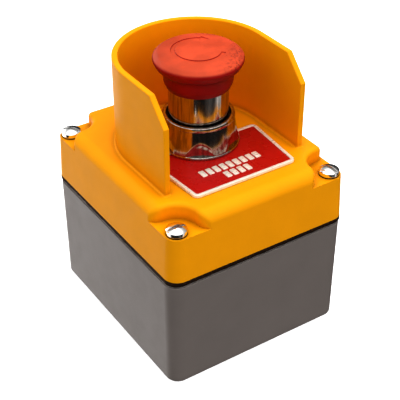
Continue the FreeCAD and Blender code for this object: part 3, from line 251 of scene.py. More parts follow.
def red_head_plastic():
    """Red head: satin plastic with painted light and shade, paler on top, darker under the rim and on its far
    left; scuffed and marked along one side of its rim.
    """
    n = Nodes("red_head_plastic")
    reach = HEAD_HIGH.x
    # painted light and shade: faces turned up take the paler red, faces turned sideways and down the deep red
    deep, lit_top_red = (0.35, 0.001, 0.001), (0.62, 0.080, 0.022)
    cloud = n.noise(9 * MM, detail=5.0)
    colour = n.mixed(n.between(n.upward(), 0.15, 0.8), deep, lit_top_red)
    # painted shade: the red darkens below the rim, where the rim keeps the light off
    crown_above = HEAD_HIGH.z - AXIS.z
    above_axis = n.facing(Vector((0, 0, 1)))
    painted_rim_shade = n.between(above_axis, crown_above - 9.5 * MM, crown_above - 6.0 * MM, 0.80, 1.0)
    shade = n.maths("MULTIPLY", n.between(cloud, 0.3, 0.7, 0.86, 1.08), painted_rim_shade)
    body = n.mixed(1.0, colour, n.grey(shade), blend="MULTIPLY")
    shaded = n.between(n.facing(FAR_LEFT), 0.2 * reach, reach, 1.0, 0.72)
    body = n.mixed(1.0, body, n.grey(shaded), blend="MULTIPLY")
    side = n.between(n.facing(NEAR_RIGHT), 0.45 * reach, 0.95 * reach)
    marks = n.between(n.noise(1.3 * MM, detail=7.0, rough=0.72, twist=0.8), 0.50, 0.62)
    marks = n.maths("MULTIPLY", marks, side)
    body = n.mixed(n.maths("MULTIPLY", marks, 0.8), body, (0.16, 0.006, 0.004))
    scratch_place = n.stretched((1.0, 7.0, 3.0))
    scratches = n.between(n.noise(3.5 * MM, detail=8.0, rough=0.8, place=scratch_place), 0.60, 0.68)
    body = n.mixed(n.maths("MULTIPLY", scratches, 0.15), body, (0.70, 0.12, 0.06))
    fine = n.noise(0.35 * MM, detail=2.0)
    relief = n.maths("ADD", fine, n.maths("MULTIPLY", marks, -1.6))
    gloss = n.between(cloud, 0.3, 0.7, 0.40, 0.52)
    gloss = n.maths("ADD", gloss, n.maths("MULTIPLY", marks, 0.2))
    return n.finish(body, gloss, n.bump(relief, 0.05 * MM), specular_ior_level=0.3)


def plated_metal(name, colour, roughness, grain=0.004 * MM, bead=0.12 * MM, painted_streak_share=0.0):
    """Bright plated metal: cloudy gloss, hair scratches and a faint orange-peel ripple.

    Grain is the depth of the ripple, bead how far the edges are softened, and the streak share how strong
    the upright dark lines are, painted in as streaky reflections.
    """
    n = Nodes(name)
    cloud = n.noise(5 * MM, detail=5.0, rough=0.6)
    hairs = n.noise(1.2 * MM, detail=6.0, rough=0.75, place=n.stretched((0.4, 0.4, 6.0)))
    scratches = n.between(hairs, 0.60, 0.72)
    body = n.mixed(cloud, tinted(colour, 0.90), tinted(colour, 1.04))
    # painted reflection: upright dark lines darken the metal's colour
    streak_noise = n.noise(1.6 * MM, detail=5.0, rough=0.7, place=n.stretched((1.0, 1.0, 0.07)))
    painted_streaks = n.between(streak_noise, 0.42, 0.62)
    body = n.mixed(n.maths("MULTIPLY", painted_streaks, painted_streak_share), body, tinted(colour, 0.45))
    # painted shade: darker in gaps and corners
    body = n.mixed(n.maths("MULTIPLY", n.hollows(0.8 * MM), 0.5), body, tinted(colour, 0.25))
    gloss = n.between(cloud, 0.3, 0.75, roughness, roughness + 0.05)
    gloss = n.maths("ADD", gloss, n.maths("MULTIPLY", scratches, 0.10))
    ripple = n.maths("ADD", n.noise(2.2 * MM, detail=1.0), n.maths("MULTIPLY", scratches, 0.25))
    normal = n.bump(ripple, grain, n.rounded_normal(bead))
    return n.finish(body, gloss, normal, metallic=1.0)


def enamel():
    """Red anodised field of the legend plate: faint rolling lines under a clear sheen."""
    n = Nodes("red_enamel")
    colour = (0.46, 0.007, 0.004)
    cloud = n.noise(11 * MM, detail=4.0)
    lines = n.noise(0.5 * MM, detail=3.0, place=n.stretched((0.05, 1.0, 1.0)))
    body = n.mixed(cloud, tinted(colour, 0.82), tinted(colour, 1.15))
    body = n.mixed(n.maths("MULTIPLY", lines, 0.2), body, tinted(colour, 0.6))
    dust = n.between(n.noise(0.8 * MM, detail=5.0, rough=0.7), 0.68, 0.76)
    body = n.mixed(n.maths("MULTIPLY", dust, 0.25), body, (0.75, 0.25, 0.18))
    gloss = n.between(cloud, 0.3, 0.7, 0.22, 0.34)
    normal = n.bump(lines, 0.006 * MM)
    return n.finish(body, gloss, normal, specular_ior_level=0.3)


def bare_aluminium():
    """Bare raised metal of the plate: brushed, with a trace of red left on it."""
    n = Nodes("bare_aluminium")
    colour = (0.93, 0.88, 0.78)
    brushed = n.noise(0.7 * MM, detail=5.0, place=n.stretched((0.12, 1.0, 1.0)))
    cloud = n.noise(3 * MM, detail=5.0, rough=0.65)
    body = n.mixed(brushed, tinted(colour, 0.86), tinted(colour, 1.06))
    left_over = n.between(cloud, 0.62, 0.72)
    body = n.mixed(n.maths("MULTIPLY", left_over, 0.2), body, (0.62, 0.18, 0.12))
    gloss = n.between(brushed, 0.3, 0.7, 0.24, 0.40)
    return n.finish(body, gloss, n.bump(brushed, 0.006 * MM), metallic=0.35)


def rubber(name, colour):
    """Matt rubber with a pitted surface and a greyish bloom."""
    n = Nodes(name)
    pits = n.noise(0.7 * MM, detail=5.0, rough=0.7)
    bloom = n.noise(6 * MM, detail=4.0)
    body = n.mixed(bloom, colour, tinted(colour, 2.2))
    # brown flecks: partly real specks in the rubber, partly a painted reflection of the yellow lid
    flecks_and_lid_reflection = n.between(n.noise(0.9 * MM, detail=3.0), 0.55, 0.70)
    body = n.mixed(n.maths("MULTIPLY", flecks_and_lid_reflection, 0.55), body, (0.17, 0.07, 0.03))
    gloss = n.between(pits, 0.3, 0.7, 0.68, 0.85)
    return n.finish(body, gloss, n.bump(pits, 0.06 * MM), specular_ior_level=0.1)


def turned_metal(name, colour, roughness):
    """Machined metal with fine tool lines round its length."""
    n = Nodes(name)
    lines = n.noise(0.6 * MM, detail=3.0, place=n.stretched((0.15, 0.15, 4.0)))
    cloud = n.noise(4 * MM, detail=4.0)
    body = n.mixed(cloud, tinted(colour, 0.84), tinted(colour, 1.08))
    # painted shade: darker in gaps and corners
    body = n.mixed(n.maths("MULTIPLY", n.hollows(1.0 * MM), 0.45), body, tinted(colour, 0.3))
    body = n.mixed(n.maths("MULTIPLY", n.edges(0.2 * MM), 0.4), body, tinted(colour, 1.25))
    gloss = n.between(lines, 0.3, 0.7, roughness - 0.05, roughness + 0.08)
    return n.finish(body, gloss, n.bump(lines, 0.01 * MM), metallic=1.0)


def make_materials():
    """One material for each of the record's slots, and those of the new pieces."""
    return {
        "yellow_plastic": moulded_plastic(
            "yellow_plastic",
            (0.86, 0.365, 0.003),
            0.42,
            0.012 * MM,
            # strong painted shade in the corners of the yellow
            painted_corner_shade=0.8,
            shine=0.06,
            # painted bounce colour for the hollows of the yellow
            painted_bounce_colour=(0.90, 0.25, 0.001),
        ),
        "grey_plastic": moulded_plastic(
            "grey_plastic", (0.205, 0.178, 0.164), 0.46, 0.020 * MM, edge_light=1.8, shine=0.18
        ),
        "red_plastic": moulded_plastic("red_plastic", (0.62, 0.020, 0.012), 0.42, 0.012 * MM),
        "black_plastic": moulded_plastic(
            "black_plastic", (0.025, 0.025, 0.028), 0.45, 0.015 * MM, edge_light=2.0
        ),
        # painted shade in the corners of the white plastic, at half strength
        "white_plastic": moulded_plastic("white_plastic", (0.72, 0.71, 0.66), 0.42, 0.012 * MM, painted_corner_shade=0.5),
        # the chrome carries the painted streaky reflections
        "chrome": plated_metal("chrome", (0.62, 0.56, 0.51), 0.11, grain=0.0015 * MM, painted_streak_share=0.8),
        "nickel": plated_metal("nickel", (0.97, 0.96, 0.95), 0.11, bead=0.05 * MM),
        "plated_steel": turned_metal("plated_steel", (0.70, 0.69, 0.67), 0.24),
        "spring_steel": turned_metal("spring_steel", (0.40, 0.40, 0.41), 0.30),
        "brass": turned_metal("brass", (0.72, 0.50, 0.20), 0.28),
        "die_cast": turned_metal("die_cast", (0.48, 0.48, 0.49), 0.42),
        "gasket_rubber": rubber("gasket_rubber", (0.014, 0.007, 0.004)),
        "red_enamel": enamel(),
        "bare_aluminium": bare_aluminium(),
        "red_head": red_head_plastic(),
    }


# ------------------------------------------------------------------ mesh helpers

SHARP_ANGLE = math.radians(35)
MERGE_DISTANCE = 1e-7


def rounded_path(corners, steps=8):
    """A path through (x, z) corners. A corner (x, z, radius) is rounded with an arc."""
    path = []
    for i, corner in enumerate(corners):
        point = Vector(corner[:2])
        if len(corner) == 2 or i in (0, len(corners) - 1):
            path.append(point)
            continue
        back = Vector(corners[i - 1][:2]) - point
        ahead = Vector(corners[i + 1][:2]) - point
        half_angle = back.angle(ahead) / 2
        reach = min(corner[2] / math.tan(half_angle), 0.49 * back.length, 0.49 * ahead.length)
        radius = reach * math.tan(half_angle)
        start = point + back.normalized() * reach
        end = point + ahead.normalized() * reach
        inward = (back.normalized() + ahead.normalized()).normalized()
        centre = point + inward * (radius / math.sin(half_angle))
        first, last = start - centre, end - centre
        sweep = first.angle_signed(last, 0.0)
        for k in range(steps + 1):
            turn = -sweep * k / steps
            arm = Vector((
                first.x * math.cos(turn) - first.y * math.sin(turn),
                first.x * math.sin(turn) + first.y * math.cos(turn),
            ))
            path.append(centre + arm)
    return path


def rounded_outline(corners, radius, steps=8):
    """A closed outline round convex (x, y) corners, each rounded."""
    looped = [corners[-1], *corners, corners[0]]
    outline = []
    for i in range(1, len(corners) + 1):
        turn = rounded_path([looped[i - 1], (*looped[i], radius), looped[i + 1]], steps)
        outline += turn[1:-1]
    return outline


def inset_corners(corners, inset):
    """The corners of a convex outline, anticlockwise, drawn in by an inset."""
    moved = []
    count = len(corners)
    for i in range(count):
        point = Vector(corners[i])
        before = (point - Vector(corners[i - 1])).normalized()
        after = (Vector(corners[(i + 1) % count]) - point).normalized()
        inward_before = Vector((-before.y, before.x))
        inward_after = Vector((-after.y, after.x))
        share = inset / (1 + inward_before.dot(inward_after))
        moved.append(tuple(point + (inward_before + inward_after) * share))
    return moved


def finish_mesh(name, mesh_data, body, material):
    """Makes an object from (vertices, faces), shades it and lets it ride on a CAD body."""
    vertices, faces = mesh_data
    mesh = bpy.data.meshes.new(name)
    mesh.from_pydata([tuple(v) for v in vertices], [], faces)
    build = bmesh.new()
    build.from_mesh(mesh)
    bmesh.ops.remove_doubles(build, verts=build.verts, dist=MERGE_DISTANCE)
    bmesh.ops.recalc_face_normals(build, faces=build.faces)
    build.to_mesh(mesh)
    build.free()
    mesh.shade_smooth()
    mesh.set_sharp_from_angle(angle=SHARP_ANGLE)
    mesh.materials.append(material)
    piece = bpy.data.objects.new(name, mesh)
    bpy.context.scene.collection.objects.link(piece)
    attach(piece, body)
    return piece


def loops_to_faces(loops, closed_ways=True):
    """Vertices and faces of a skin over loops of equal length."""
    count = len(loops[0])
    vertices = [v for loop in loops for v in loop]
    faces = []
    last = count if closed_ways else count - 1
    for i in range(len(loops) - 1):
        for j in range(last):
            k = (j + 1) % count
            faces.append((i * count + j, i * count + k, (i + 1) * count + k, (i + 1) * count + j))
    return vertices, faces


def lathe(profile, segments, centre, shape=None):
    """Turns (radius, z) points about an upright axis. shape(radius, z, angle) may move each point."""
    loops = []
    for radius, z in profile:
        loop = []
        for j in range(segments):
            angle = 2 * math.pi * j / segments
            r, level = shape(radius, z, angle) if shape else (radius, z)
            loop.append(Vector((centre.x + r * math.cos(angle), centre.y + r * math.sin(angle), level)))
        loops.append(loop)
    return loops_to_faces(loops)


def smooth_share(value, low, high):
    """0 below low, 1 above high, eased between."""
    t = min(1.0, max(0.0, (value - low) / (high - low)))
    return t * t * (3 - 2 * t)


def soft_min(first, second, blend):
    """The smaller of two numbers, rounded over where they cross."""
    h = min(1.0, max(0.0, 0.5 + 0.5 * (second - first) / blend))
    return second + (first - second) * h - blend * h * (1 - h)


# ------------------------------------------------------------------ mushroom head

HEAD_RADIUS = HEAD_HIGH.x
HEAD_SEGMENTS = 540
CROWN_ARC = 5.2 * HEAD_RADIUS
CROWN_SHOULDER = 0.86 * HEAD_RADIUS
CROWN_DEPTH = 2.2 * MM
INNER_STEP = 0.9 * MM
INNER_RINGS = 8
ARROW_RINGS = 52
OUTER_RINGS = 4
SLEEVE_GAP = 0.02 * MM
CAVITY_RADIUS = 0.55 * HEAD_RADIUS
CAVITY_MOUTH = HEAD_HIGH.z - 12.0 * MM
CAVITY_ROOF = HEAD_HIGH.z - 6.0 * MM
ARROW_MIDDLE = 0.55 * HEAD_RADIUS
ARROW_REACH = 2.9 * MM
ARROW_HALF_WIDTH = 0.95 * MM
ARROW_BARB = 1.3 * MM
ARROW_DEPTH = 0.5 * MM
ARROW_TAIL, ARROW_NECK, ARROW_TIP = math.radians(315), math.radians(52), math.radians(30)
ARROW_WALL = 0.10 * MM


def arrow_depth(radius, angle):
    """How deep the turning arrow is sunk at a place on the head's crown."""
    off_middle = abs(radius - ARROW_MIDDLE)
    along_band = min(angle - ARROW_NECK, ARROW_TAIL - angle) * ARROW_MIDDLE
    in_band = min(ARROW_HALF_WIDTH - off_middle, along_band + ARROW_WALL)
    head_share = (angle - ARROW_TIP) / (ARROW_NECK - ARROW_TIP)
    head_half = (ARROW_HALF_WIDTH + ARROW_BARB) * head_share
    in_head = min(head_half - off_middle, (ARROW_NECK - angle) * ARROW_MIDDLE + ARROW_WALL)
    return ARROW_DEPTH * smooth_share(max(in_band, in_head), -ARROW_WALL, ARROW_WALL)


def crown_level(radius):
    """Height of the crown's shallow dome at a radius."""
    return HEAD_HIGH.z - (CROWN_ARC - math.sqrt(CROWN_ARC**2 - radius**2))


def crown_path():
    """The crown from its middle out to the shoulder, finely divided where the arrow is sunk."""
    arrow_from, arrow_to = ARROW_MIDDLE - ARROW_REACH, ARROW_MIDDLE + ARROW_REACH
    radii = [0.05 * MM]
    radii += [k * INNER_STEP for k in range(1, INNER_RINGS + 1)]
    radii += [arrow_from + (arrow_to - arrow_from) * k / ARROW_RINGS for k in range(ARROW_RINGS + 1)]
    radii += [arrow_to + (CROWN_SHOULDER - arrow_to) * k / OUTER_RINGS for k in range(1, OUTER_RINGS)]
    return [(radius, crown_level(radius)) for radius in radii]


def head_profile():
    """The head's half section: crown, rounded rim, flowing underside, skirt and the bore for the sleeve."""
    r, low, high = HEAD_RADIUS, HEAD_LOW.z, HEAD_HIGH.z
    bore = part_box("head_sleeve")[1].x + SLEEVE_GAP
    crown = crown_path()
    outside = [
        crown[-1],
        (0.885 * r, crown_level(0.885 * r), 5.0 * MM),  # edge of the crown
        (0.985 * r, high - 3.1 * MM, 2.6 * MM),  # top of the rim
        (1.000 * r, high - 4.4 * MM, 1.8 * MM),  # widest place
        (0.930 * r, high - 7.2 * MM, 2.4 * MM),  # underside of the rim
        (0.770 * r, high - 9.4 * MM, 4.0 * MM),  # waist
        (0.765 * r, low + 2.6 * MM, 3.0 * MM),  # skirt
        (0.705 * r, low, 0.35 * MM),  # foot of the skirt
        (bore, low, 0.15 * MM),
        (bore, CAVITY_MOUTH),
    ]
    cavity = [(CAVITY_RADIUS, CAVITY_MOUTH), (CAVITY_RADIUS, CAVITY_ROOF), (0.0, CAVITY_ROOF)]
    return crown + [tuple(p) for p in rounded_path(outside, steps=12)[1:]] + cavity


def build_head(materials):
    """The red head, with the turning arrow sunk in its crown."""

    def sink(radius, z, angle):
        on_crown = z > HEAD_HIGH.z - CROWN_DEPTH and radius < CROWN_SHOULDER
        return (radius, z - arrow_depth(radius, angle)) if on_crown else (radius, z)

    skin = lathe(head_profile(), HEAD_SEGMENTS, AXIS, sink)
    head = finish_mesh("mushroom_head_moulded", skin, "head", materials["red_head"])
    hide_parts("mushroom_head")


# ------------------------------------------------------------------ bezel nut

BEZEL_RADIUS = BEZEL_HIGH.x
BEZEL_SEGMENTS = 480
FLAT_COUNT = 6
FLAT_HALF = 0.919 * BEZEL_RADIUS
FLAT_BLEND = 0.25 * MM
WALL_TOP_RADIUS = 0.865 * BEZEL_RADIUS
WALL_ROWS = 24
SHOULDER_LEVEL = BEZEL_LOW.z + 1.4 * MM
SHOULDER_LEDGE = 0.35 * MM
LIP_FOOT = BEZEL_HIGH.z - 1.5 * MM
LIP_RISE = 0.6 * MM
LIP_OVERHANG = 0.25 * MM
LIP_GAP = 0.9 * MM
SEAL_GAP = 0.05 * MM


def faceted(radius, z, angle):
    """Cuts the spanner flats into the nut's cone, between its foot and its lip."""
    if z < SHOULDER_LEVEL - 0.01 * MM or z > LIP_FOOT + 0.1 * MM:
        return radius, z
    flat_turn = 2 * math.pi / FLAT_COUNT
    nearest = round(angle / flat_turn) * flat_turn
    return soft_min(radius, FLAT_HALF / math.cos(angle - nearest), FLAT_BLEND), z


def build_bezel(materials):
    """Chromed nut: round foot, cone with six spanner flats that run out under a rolled-in lip."""
    foot, top = BEZEL_LOW.z, BEZEL_HIGH.z
    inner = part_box("wiper_seal")[1].x + SEAL_GAP
    lip_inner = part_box("head_sleeve")[1].x + LIP_GAP
    lip_outer = WALL_TOP_RADIUS + LIP_OVERHANG
    wall_foot = BEZEL_RADIUS - SHOULDER_LEDGE
    foot_path = rounded_path(
        [
            (inner, foot),
            (BEZEL_RADIUS - 0.1 * MM, foot, 0.2 * MM),
            (BEZEL_RADIUS, foot + 0.5 * MM, 0.3 * MM),
            (BEZEL_RADIUS, SHOULDER_LEVEL - SHOULDER_LEDGE, 0.3 * MM),
            (wall_foot, SHOULDER_LEVEL - 0.02 * MM),
        ],
        steps=6,
    )
    wall = []
    for k in range(WALL_ROWS + 1):
        share = k / WALL_ROWS
        wall.append((
            wall_foot + (WALL_TOP_RADIUS - wall_foot) * share,
            SHOULDER_LEVEL + (LIP_FOOT - SHOULDER_LEVEL) * share,
        ))
    lip = rounded_path(
        [
            wall[-1],
            (lip_outer, LIP_FOOT + LIP_OVERHANG, 0.15 * MM),
            (lip_outer, top + LIP_RISE, 0.9 * MM),
            (lip_inner, top + LIP_RISE, 0.5 * MM),
            (lip_inner, top - 0.6 * MM, 0.2 * MM),
            (inner, top - 1.0 * MM),
            (inner, foot),
        ],
        steps=8,
    )
    profile = [tuple(p) for p in foot_path] + wall + [tuple(p) for p in lip[1:]]
    skin = lathe(profile, BEZEL_SEGMENTS, AXIS, faceted)
    bezel = finish_mesh("bezel_nut_turned", skin, "enclosure", materials["chrome"])
    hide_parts("bezel_nut")


# ------------------------------------------------------------------ legend plate

PLATE_CORNER = 2.5 * MM
# how much the rounding takes off the plate's widest corners
CORNER_TRIM = 0.21 * MM
FRONT_SHARE = 0.903
BORDER_WIDTH = 1.6 * MM
FIELD_LEVEL = BEZEL_LOW.z
PLATE_BACK_EDGE = AXIS.y - 2.9 * MM
FIELD_ARC_STEPS = 48
LONG_SIDE = 10 * MM
SIDE_PIECES = 40
BAR_PITCH = 3.5 * MM
BAR_SIZE = (2.6 * MM, 4.6 * MM)
BAR_CORNER = 0.5 * MM
BAR_SHIFT = 1.0 * MM
# each row's place, as a share of the plate's depth, and its number of bars
BAR_ROWS = ((0.345, 9), (0.176, 4))


def plate_corners():
    """The plate's flared outline, anticlockwise from its front left, before its corners are rounded."""
    back_half = PLATE_HIGH.x + CORNER_TRIM
    front_half = FRONT_SHARE * back_half
    return [
        (-front_half, PLATE_LOW.y),
        (front_half, PLATE_LOW.y),
        (back_half, PLATE_BACK_EDGE),
        (-back_half, PLATE_BACK_EDGE),
    ]


def split_long_sides(outline):
    """The same closed outline, its long straight sides cut into short lengths."""
    points = []
    for i, point in enumerate(outline):
        after = outline[(i + 1) % len(outline)]
        pieces = SIDE_PIECES if (after - point).length > LONG_SIDE else 1
        points += [point.lerp(after, k / pieces) for k in range(pieces)]
    return points


def raised_loops(corners, radius, steps):
    """Loops of a raised shape: each step is (inset, level)."""
    loops = []
    for inset, level in steps:
        outline = rounded_outline(inset_corners(corners, inset), max(radius - inset, 0.05 * MM))
        loops.append([Vector((p.x, p.y, level)) for p in split_long_sides(outline)])
    return loops


def build_border(materials):
    """The plate's bare raised border, left out where the bezel stands on the plate."""
    low, level, crest = PLATE_LOW.z, FIELD_LEVEL, PLATE_HIGH.z
    foot = low + 0.1 * MM
    lower_slope = level + 0.55 * (crest - level)
    upper_slope = level + 0.90 * (crest - level)
    steps = [
        (0.10 * MM, low),
        (0.0, foot),
        (0.0, level),
        (0.06 * MM, lower_slope),
        (0.22 * MM, upper_slope),
        (0.45 * MM, crest),
        (BORDER_WIDTH - 0.45 * MM, crest),
        (BORDER_WIDTH - 0.22 * MM, upper_slope),
        (BORDER_WIDTH - 0.06 * MM, lower_slope),
        (BORDER_WIDTH, level),
        (BORDER_WIDTH, foot),
        (BORDER_WIDTH - 0.10 * MM, low),
        (0.10 * MM, low),
    ]
    vertices, faces = loops_to_faces(raised_loops(plate_corners(), PLATE_CORNER, steps))
    under_bezel = BEZEL_RADIUS - 0.3 * MM
    kept = []
    for face in faces:
        middle = sum((vertices[i] for i in face), Vector()) / len(face)
        if (middle - AXIS).xy.length > under_bezel:
            kept.append(face)
    skin = (vertices, kept)
    border = finish_mesh("legend_plate_border", skin, "enclosure", materials["bare_aluminium"])
    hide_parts("legend_plate")


def build_field(materials):
    """The enamelled field inside the border, cut away in an arc under the bezel."""
    corners = plate_corners()
    outline = rounded_outline(inset_corners(corners, BORDER_WIDTH - 0.05 * MM), PLATE_CORNER - BORDER_WIDTH)
    arc_radius = BEZEL_RADIUS - 1.0 * MM
    back = inset_corners(corners, BORDER_WIDTH)[2][1]
    half_chord = math.sqrt(arc_radius**2 - (AXIS.y - back) ** 2)
    start = math.atan2(back - AXIS.y, half_chord)
    turn = -math.pi - 2 * start
    angles = [start + turn * k / FIELD_ARC_STEPS for k in range(FIELD_ARC_STEPS + 1)]
    arc = [Vector((AXIS.x + arc_radius * math.cos(a), AXIS.y + arc_radius * math.sin(a))) for a in angles]
    halfway = (PLATE_LOW.y + back) / 2
    back_left = next(i for i, p in enumerate(outline) if p.y > halfway and p.x < 0)
    ring = outline[:back_left] + arc + outline[back_left:]
    count = len(ring)
    top = [Vector((p.x, p.y, FIELD_LEVEL)) for p in ring]
    bottom = [Vector((p.x, p.y, PLATE_LOW.z)) for p in ring]
    sides = [(i, (i + 1) % count, count + (i + 1) % count, count + i) for i in range(count)]
    ends = [tuple(range(count)), tuple(range(2 * count - 1, count - 1, -1))]
    solid = (top + bottom, ends + sides)
    field = finish_mesh("legend_plate_enamel", solid, "enclosure", materials["red_enamel"])
    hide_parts("legend_plate")


def build_bars(materials):
    """Two rows of plain raised bars on the field."""
    depth = PLATE_BACK_EDGE - PLATE_LOW.y
    vertices, faces = [], []
    for share, bar_count in BAR_ROWS:
        y = PLATE_LOW.y + share * depth + BAR_SHIFT
        for i in range(bar_count):
            add_bar(vertices, faces, BAR_PITCH * (i - (bar_count - 1) / 2), y)
    skin = (vertices, faces)
    bars = finish_mesh("legend_plate_bars", skin, "enclosure", materials["bare_aluminium"])
    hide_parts("legend_plate")


def add_bar(vertices, faces, x, y):
    """Adds one soft-edged raised bar."""
    left, right = x - BAR_SIZE[0] / 2, x + BAR_SIZE[0] / 2
    front, back = y - BAR_SIZE[1] / 2, y + BAR_SIZE[1] / 2
    rise = PLATE_HIGH.z - FIELD_LEVEL
    steps = [
        (0.0, FIELD_LEVEL - 0.1 * MM),
        (0.0, FIELD_LEVEL + 0.45 * rise),
        (0.06 * MM, FIELD_LEVEL + 0.68 * rise),
        (0.18 * MM, FIELD_LEVEL + 0.80 * rise),
    ]
    loops = raised_loops([(left, front), (right, front), (right, back), (left, back)], BAR_CORNER, steps)
    bar_vertices, bar_faces = loops_to_faces(loops)
    start = len(vertices)
    count = len(loops[0])
    vertices += bar_vertices
    faces += [tuple(i + start for i in face) for face in bar_faces]
    last = start + (len(loops) - 1) * count
    faces.append(tuple(range(last, last + count)))
    faces.append(tuple(range(start + count - 1, start - 1, -1)))


# ------------------------------------------------------------------ lid screws

HEAD_DISC_RADIUS = 4.5 * MM
# share of the head's height taken by its upright edge
EDGE_SHARE = 0.56
# turn of each screw's slot in degrees, by corner
SLOT_TURNS = {(-1, -1): -1.0, (-1, 1): -51.0, (1, -1): -77.0, (1, 1): 20.0}
SLOT_HALF = 0.70 * MM
SLOT_DEPTH = 1.5 * MM
SLOT_SOFT = 0.06 * MM
SLOT_EDGE_DROP = 0.12 * MM
SLOT_LIP_DROP = 0.03 * MM
CROWN_ROWS = 18
ROW_STEPS = 40
THREAD_PITCH = 0.8 * MM
THREAD_DEPTH = 0.4 * MM
THREAD_LENGTH = 14 * MM
THREAD_RUN_OUT = 1 * MM
RINGS_PER_TURN = 8
SHANK_RADIUS = 2.5 * MM
SHANK_SEGMENTS = 24
SHANK_SINK = 0.05 * MM


def slot_rows():
    """Rows across a screw head, from side to side: (distance from the slot's middle, kind of row)."""
    outer = [HEAD_DISC_RADIUS * math.sin(math.pi / 2 * k / CROWN_ROWS) for k in range(CROWN_ROWS + 1)]
    half = [
        (SLOT_HALF - SLOT_SOFT, "floor"),
        (SLOT_HALF, "foot"),
        (SLOT_HALF + 0.02 * MM, "edge"),
        (SLOT_HALF + SLOT_SOFT, "lip"),
        (SLOT_HALF + 2.5 * SLOT_SOFT, "top"),
    ]
    half += [(v, "top") for v in outer if v > SLOT_HALF + 4 * SLOT_SOFT]
    return [(-v, kind) for v, kind in reversed(half)] + [(0.0, "floor")] + half


def crown_loops(seat, edge_rise, crown_rise):
    """Rows of points over a domed head. They run along the slot, so that its walls are straight."""
    radius = HEAD_DISC_RADIUS
    arc = (radius**2 + crown_rise**2) / (2 * crown_rise)
    crest = seat + edge_rise + crown_rise
    floor = crest - SLOT_DEPTH
    loops = []
    for v, kind in slot_rows():
        reach = math.sqrt(max(radius**2 - v**2, 0.0))
        loop = []
        for k in range(ROW_STEPS + 1):
            u = reach * math.sin(math.pi * (k / ROW_STEPS - 0.5))
            level = crest - arc + math.sqrt(max(arc**2 - u**2 - v**2, 0.0))
            if kind in ("floor", "foot"):
                level = min(floor, level)
            elif kind == "edge":
                level = max(level - SLOT_EDGE_DROP, min(floor, level))
            elif kind == "lip":
                level = max(level - SLOT_LIP_DROP, min(floor, level))
            loop.append(Vector((u, v, level)))
        loops.append(loop)
    return loops


def screw_head(centre, turn, seat, edge_rise, crown_rise):
    """A slotted, domed head, closed underneath and turned about its own axis."""
    loops = crown_loops(seat, edge_rise, crown_rise)
    vertices, faces = loops_to_faces(loops, closed_ways=False)
    rim = [loop[0] for loop in loops] + loops[-1][1:]
    rim += [loop[-1] for loop in reversed(loops[:-1])] + loops[0][-2:0:-1]
    side_loops = []
    for share, level in ((1.0, None), (1.0, seat + 0.12 * MM), (0.97, seat), (0.0, seat)):
        side_loops.append([Vector((p.x * share, p.y * share, p.z if level is None else level)) for p in rim])
    side_vertices, side_faces = loops_to_faces(side_loops)
    start = len(vertices)
    vertices += side_vertices
    faces += [tuple(i + start for i in face) for face in side_faces]
    cos_turn, sin_turn = math.cos(turn), math.sin(turn)
    turned = [
        Vector((centre.x + v.x * cos_turn - v.y * sin_turn, centre.y + v.x * sin_turn + v.y * cos_turn, v.z))
        for v in vertices
    ]
    return turned, faces


def screw_shank(centre, low, seat):
    """A shank whose lower part carries a helical thread."""
    rings = int((seat - low) / THREAD_PITCH * RINGS_PER_TURN)
    top = seat + SHANK_SINK

    def thread(radius, z, angle):
        phase = (z / THREAD_PITCH - angle / (2 * math.pi)) % 1.0
        groove = abs(2 * phase - 1)
        threaded = 1 - smooth_share(z, low + THREAD_LENGTH, low + THREAD_LENGTH + THREAD_RUN_OUT)
        return radius - THREAD_DEPTH * groove * threaded, z

    profile = [(0.0, low), (0.75 * SHANK_RADIUS, low)]
    profile += [(SHANK_RADIUS, low + (seat - low) * (k + 1) / (rings + 1)) for k in range(rings)]
    profile += [(SHANK_RADIUS, top), (0.0, top)]
    return lathe(profile, SHANK_SEGMENTS, centre, thread)


def build_screws(materials):
    """Four lid screws: domed slotted heads on threaded shanks."""
    low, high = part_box("lid_screws")
    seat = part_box("lid_screw_washers")[1].z
    across, along = high.x - HEAD_DISC_RADIUS, high.y - HEAD_DISC_RADIUS
    rise = high.z - seat
    disc = EDGE_SHARE * rise
    for number, (sign, turn) in enumerate(SLOT_TURNS.items(), start=1):
        centre = Vector((sign[0] * across, sign[1] * along, 0))
        parts = (
            ("head", screw_head(centre, math.radians(turn), seat, disc, rise - disc), "nickel"),
            ("shank", screw_shank(centre, low.z, seat), "plated_steel"),
        )
        for part, skin, look in parts:
            name = f"lid_screw_{part}_{number}"
            piece = finish_mesh(name, skin, "enclosure", materials[look])
            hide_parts("lid_screws")


# ------------------------------------------------------------------ lid gasket

GASKET_CORNER = 6.0 * MM
GASKET_PIECES = 60
FLANGE = 6.0 * MM
# share of the gasket's thickness by which it laps down over the box
SQUEEZED_DOWN = 0.24
# share of the half size beyond which a place counts as lying on that side
CORNER_SHARE = 0.93
# how often per metre the foam bulges, and how far
COARSE_RAGS = (420, 0.28 * MM)
FINE_RAGS = (1500, 0.16 * MM)
MOST_RAGGED = 0.3 * MM


def gasket_outline(half_x, half_y):
    """The gasket's outer outline, its straight sides cut into short pieces."""
    corners = [(-half_x, -half_y), (half_x, -half_y), (half_x, half_y), (-half_x, half_y)]
    outline = rounded_outline(corners, GASKET_CORNER, steps=12)
    longest = 1.4 * half_x / GASKET_PIECES
    points = []
    for i, point in enumerate(outline):
        after = outline[(i + 1) % len(outline)]
        pieces = max(1, int((after - point).length / longest))
        points += [point.lerp(after, k / pieces) for k in range(pieces)]
    return points


def inward_from(point, half_x, half_y):
    """The direction from a place on the outline to the inside: straight on the sides, slanting at corners."""
    share = Vector((-point.x / half_x, -point.y / half_y))
    straight = Vector((
        share.x if abs(share.x) > CORNER_SHARE else 0,
        share.y if abs(share.y) > CORNER_SHARE else 0,
    ))
    return straight.normalized() if straight.length else share.normalized()


def raggedness(place):
    """How far the foam bulges out at a place."""
    return sum(noise.noise(place * scale) * size for scale, size in (COARSE_RAGS, FINE_RAGS))


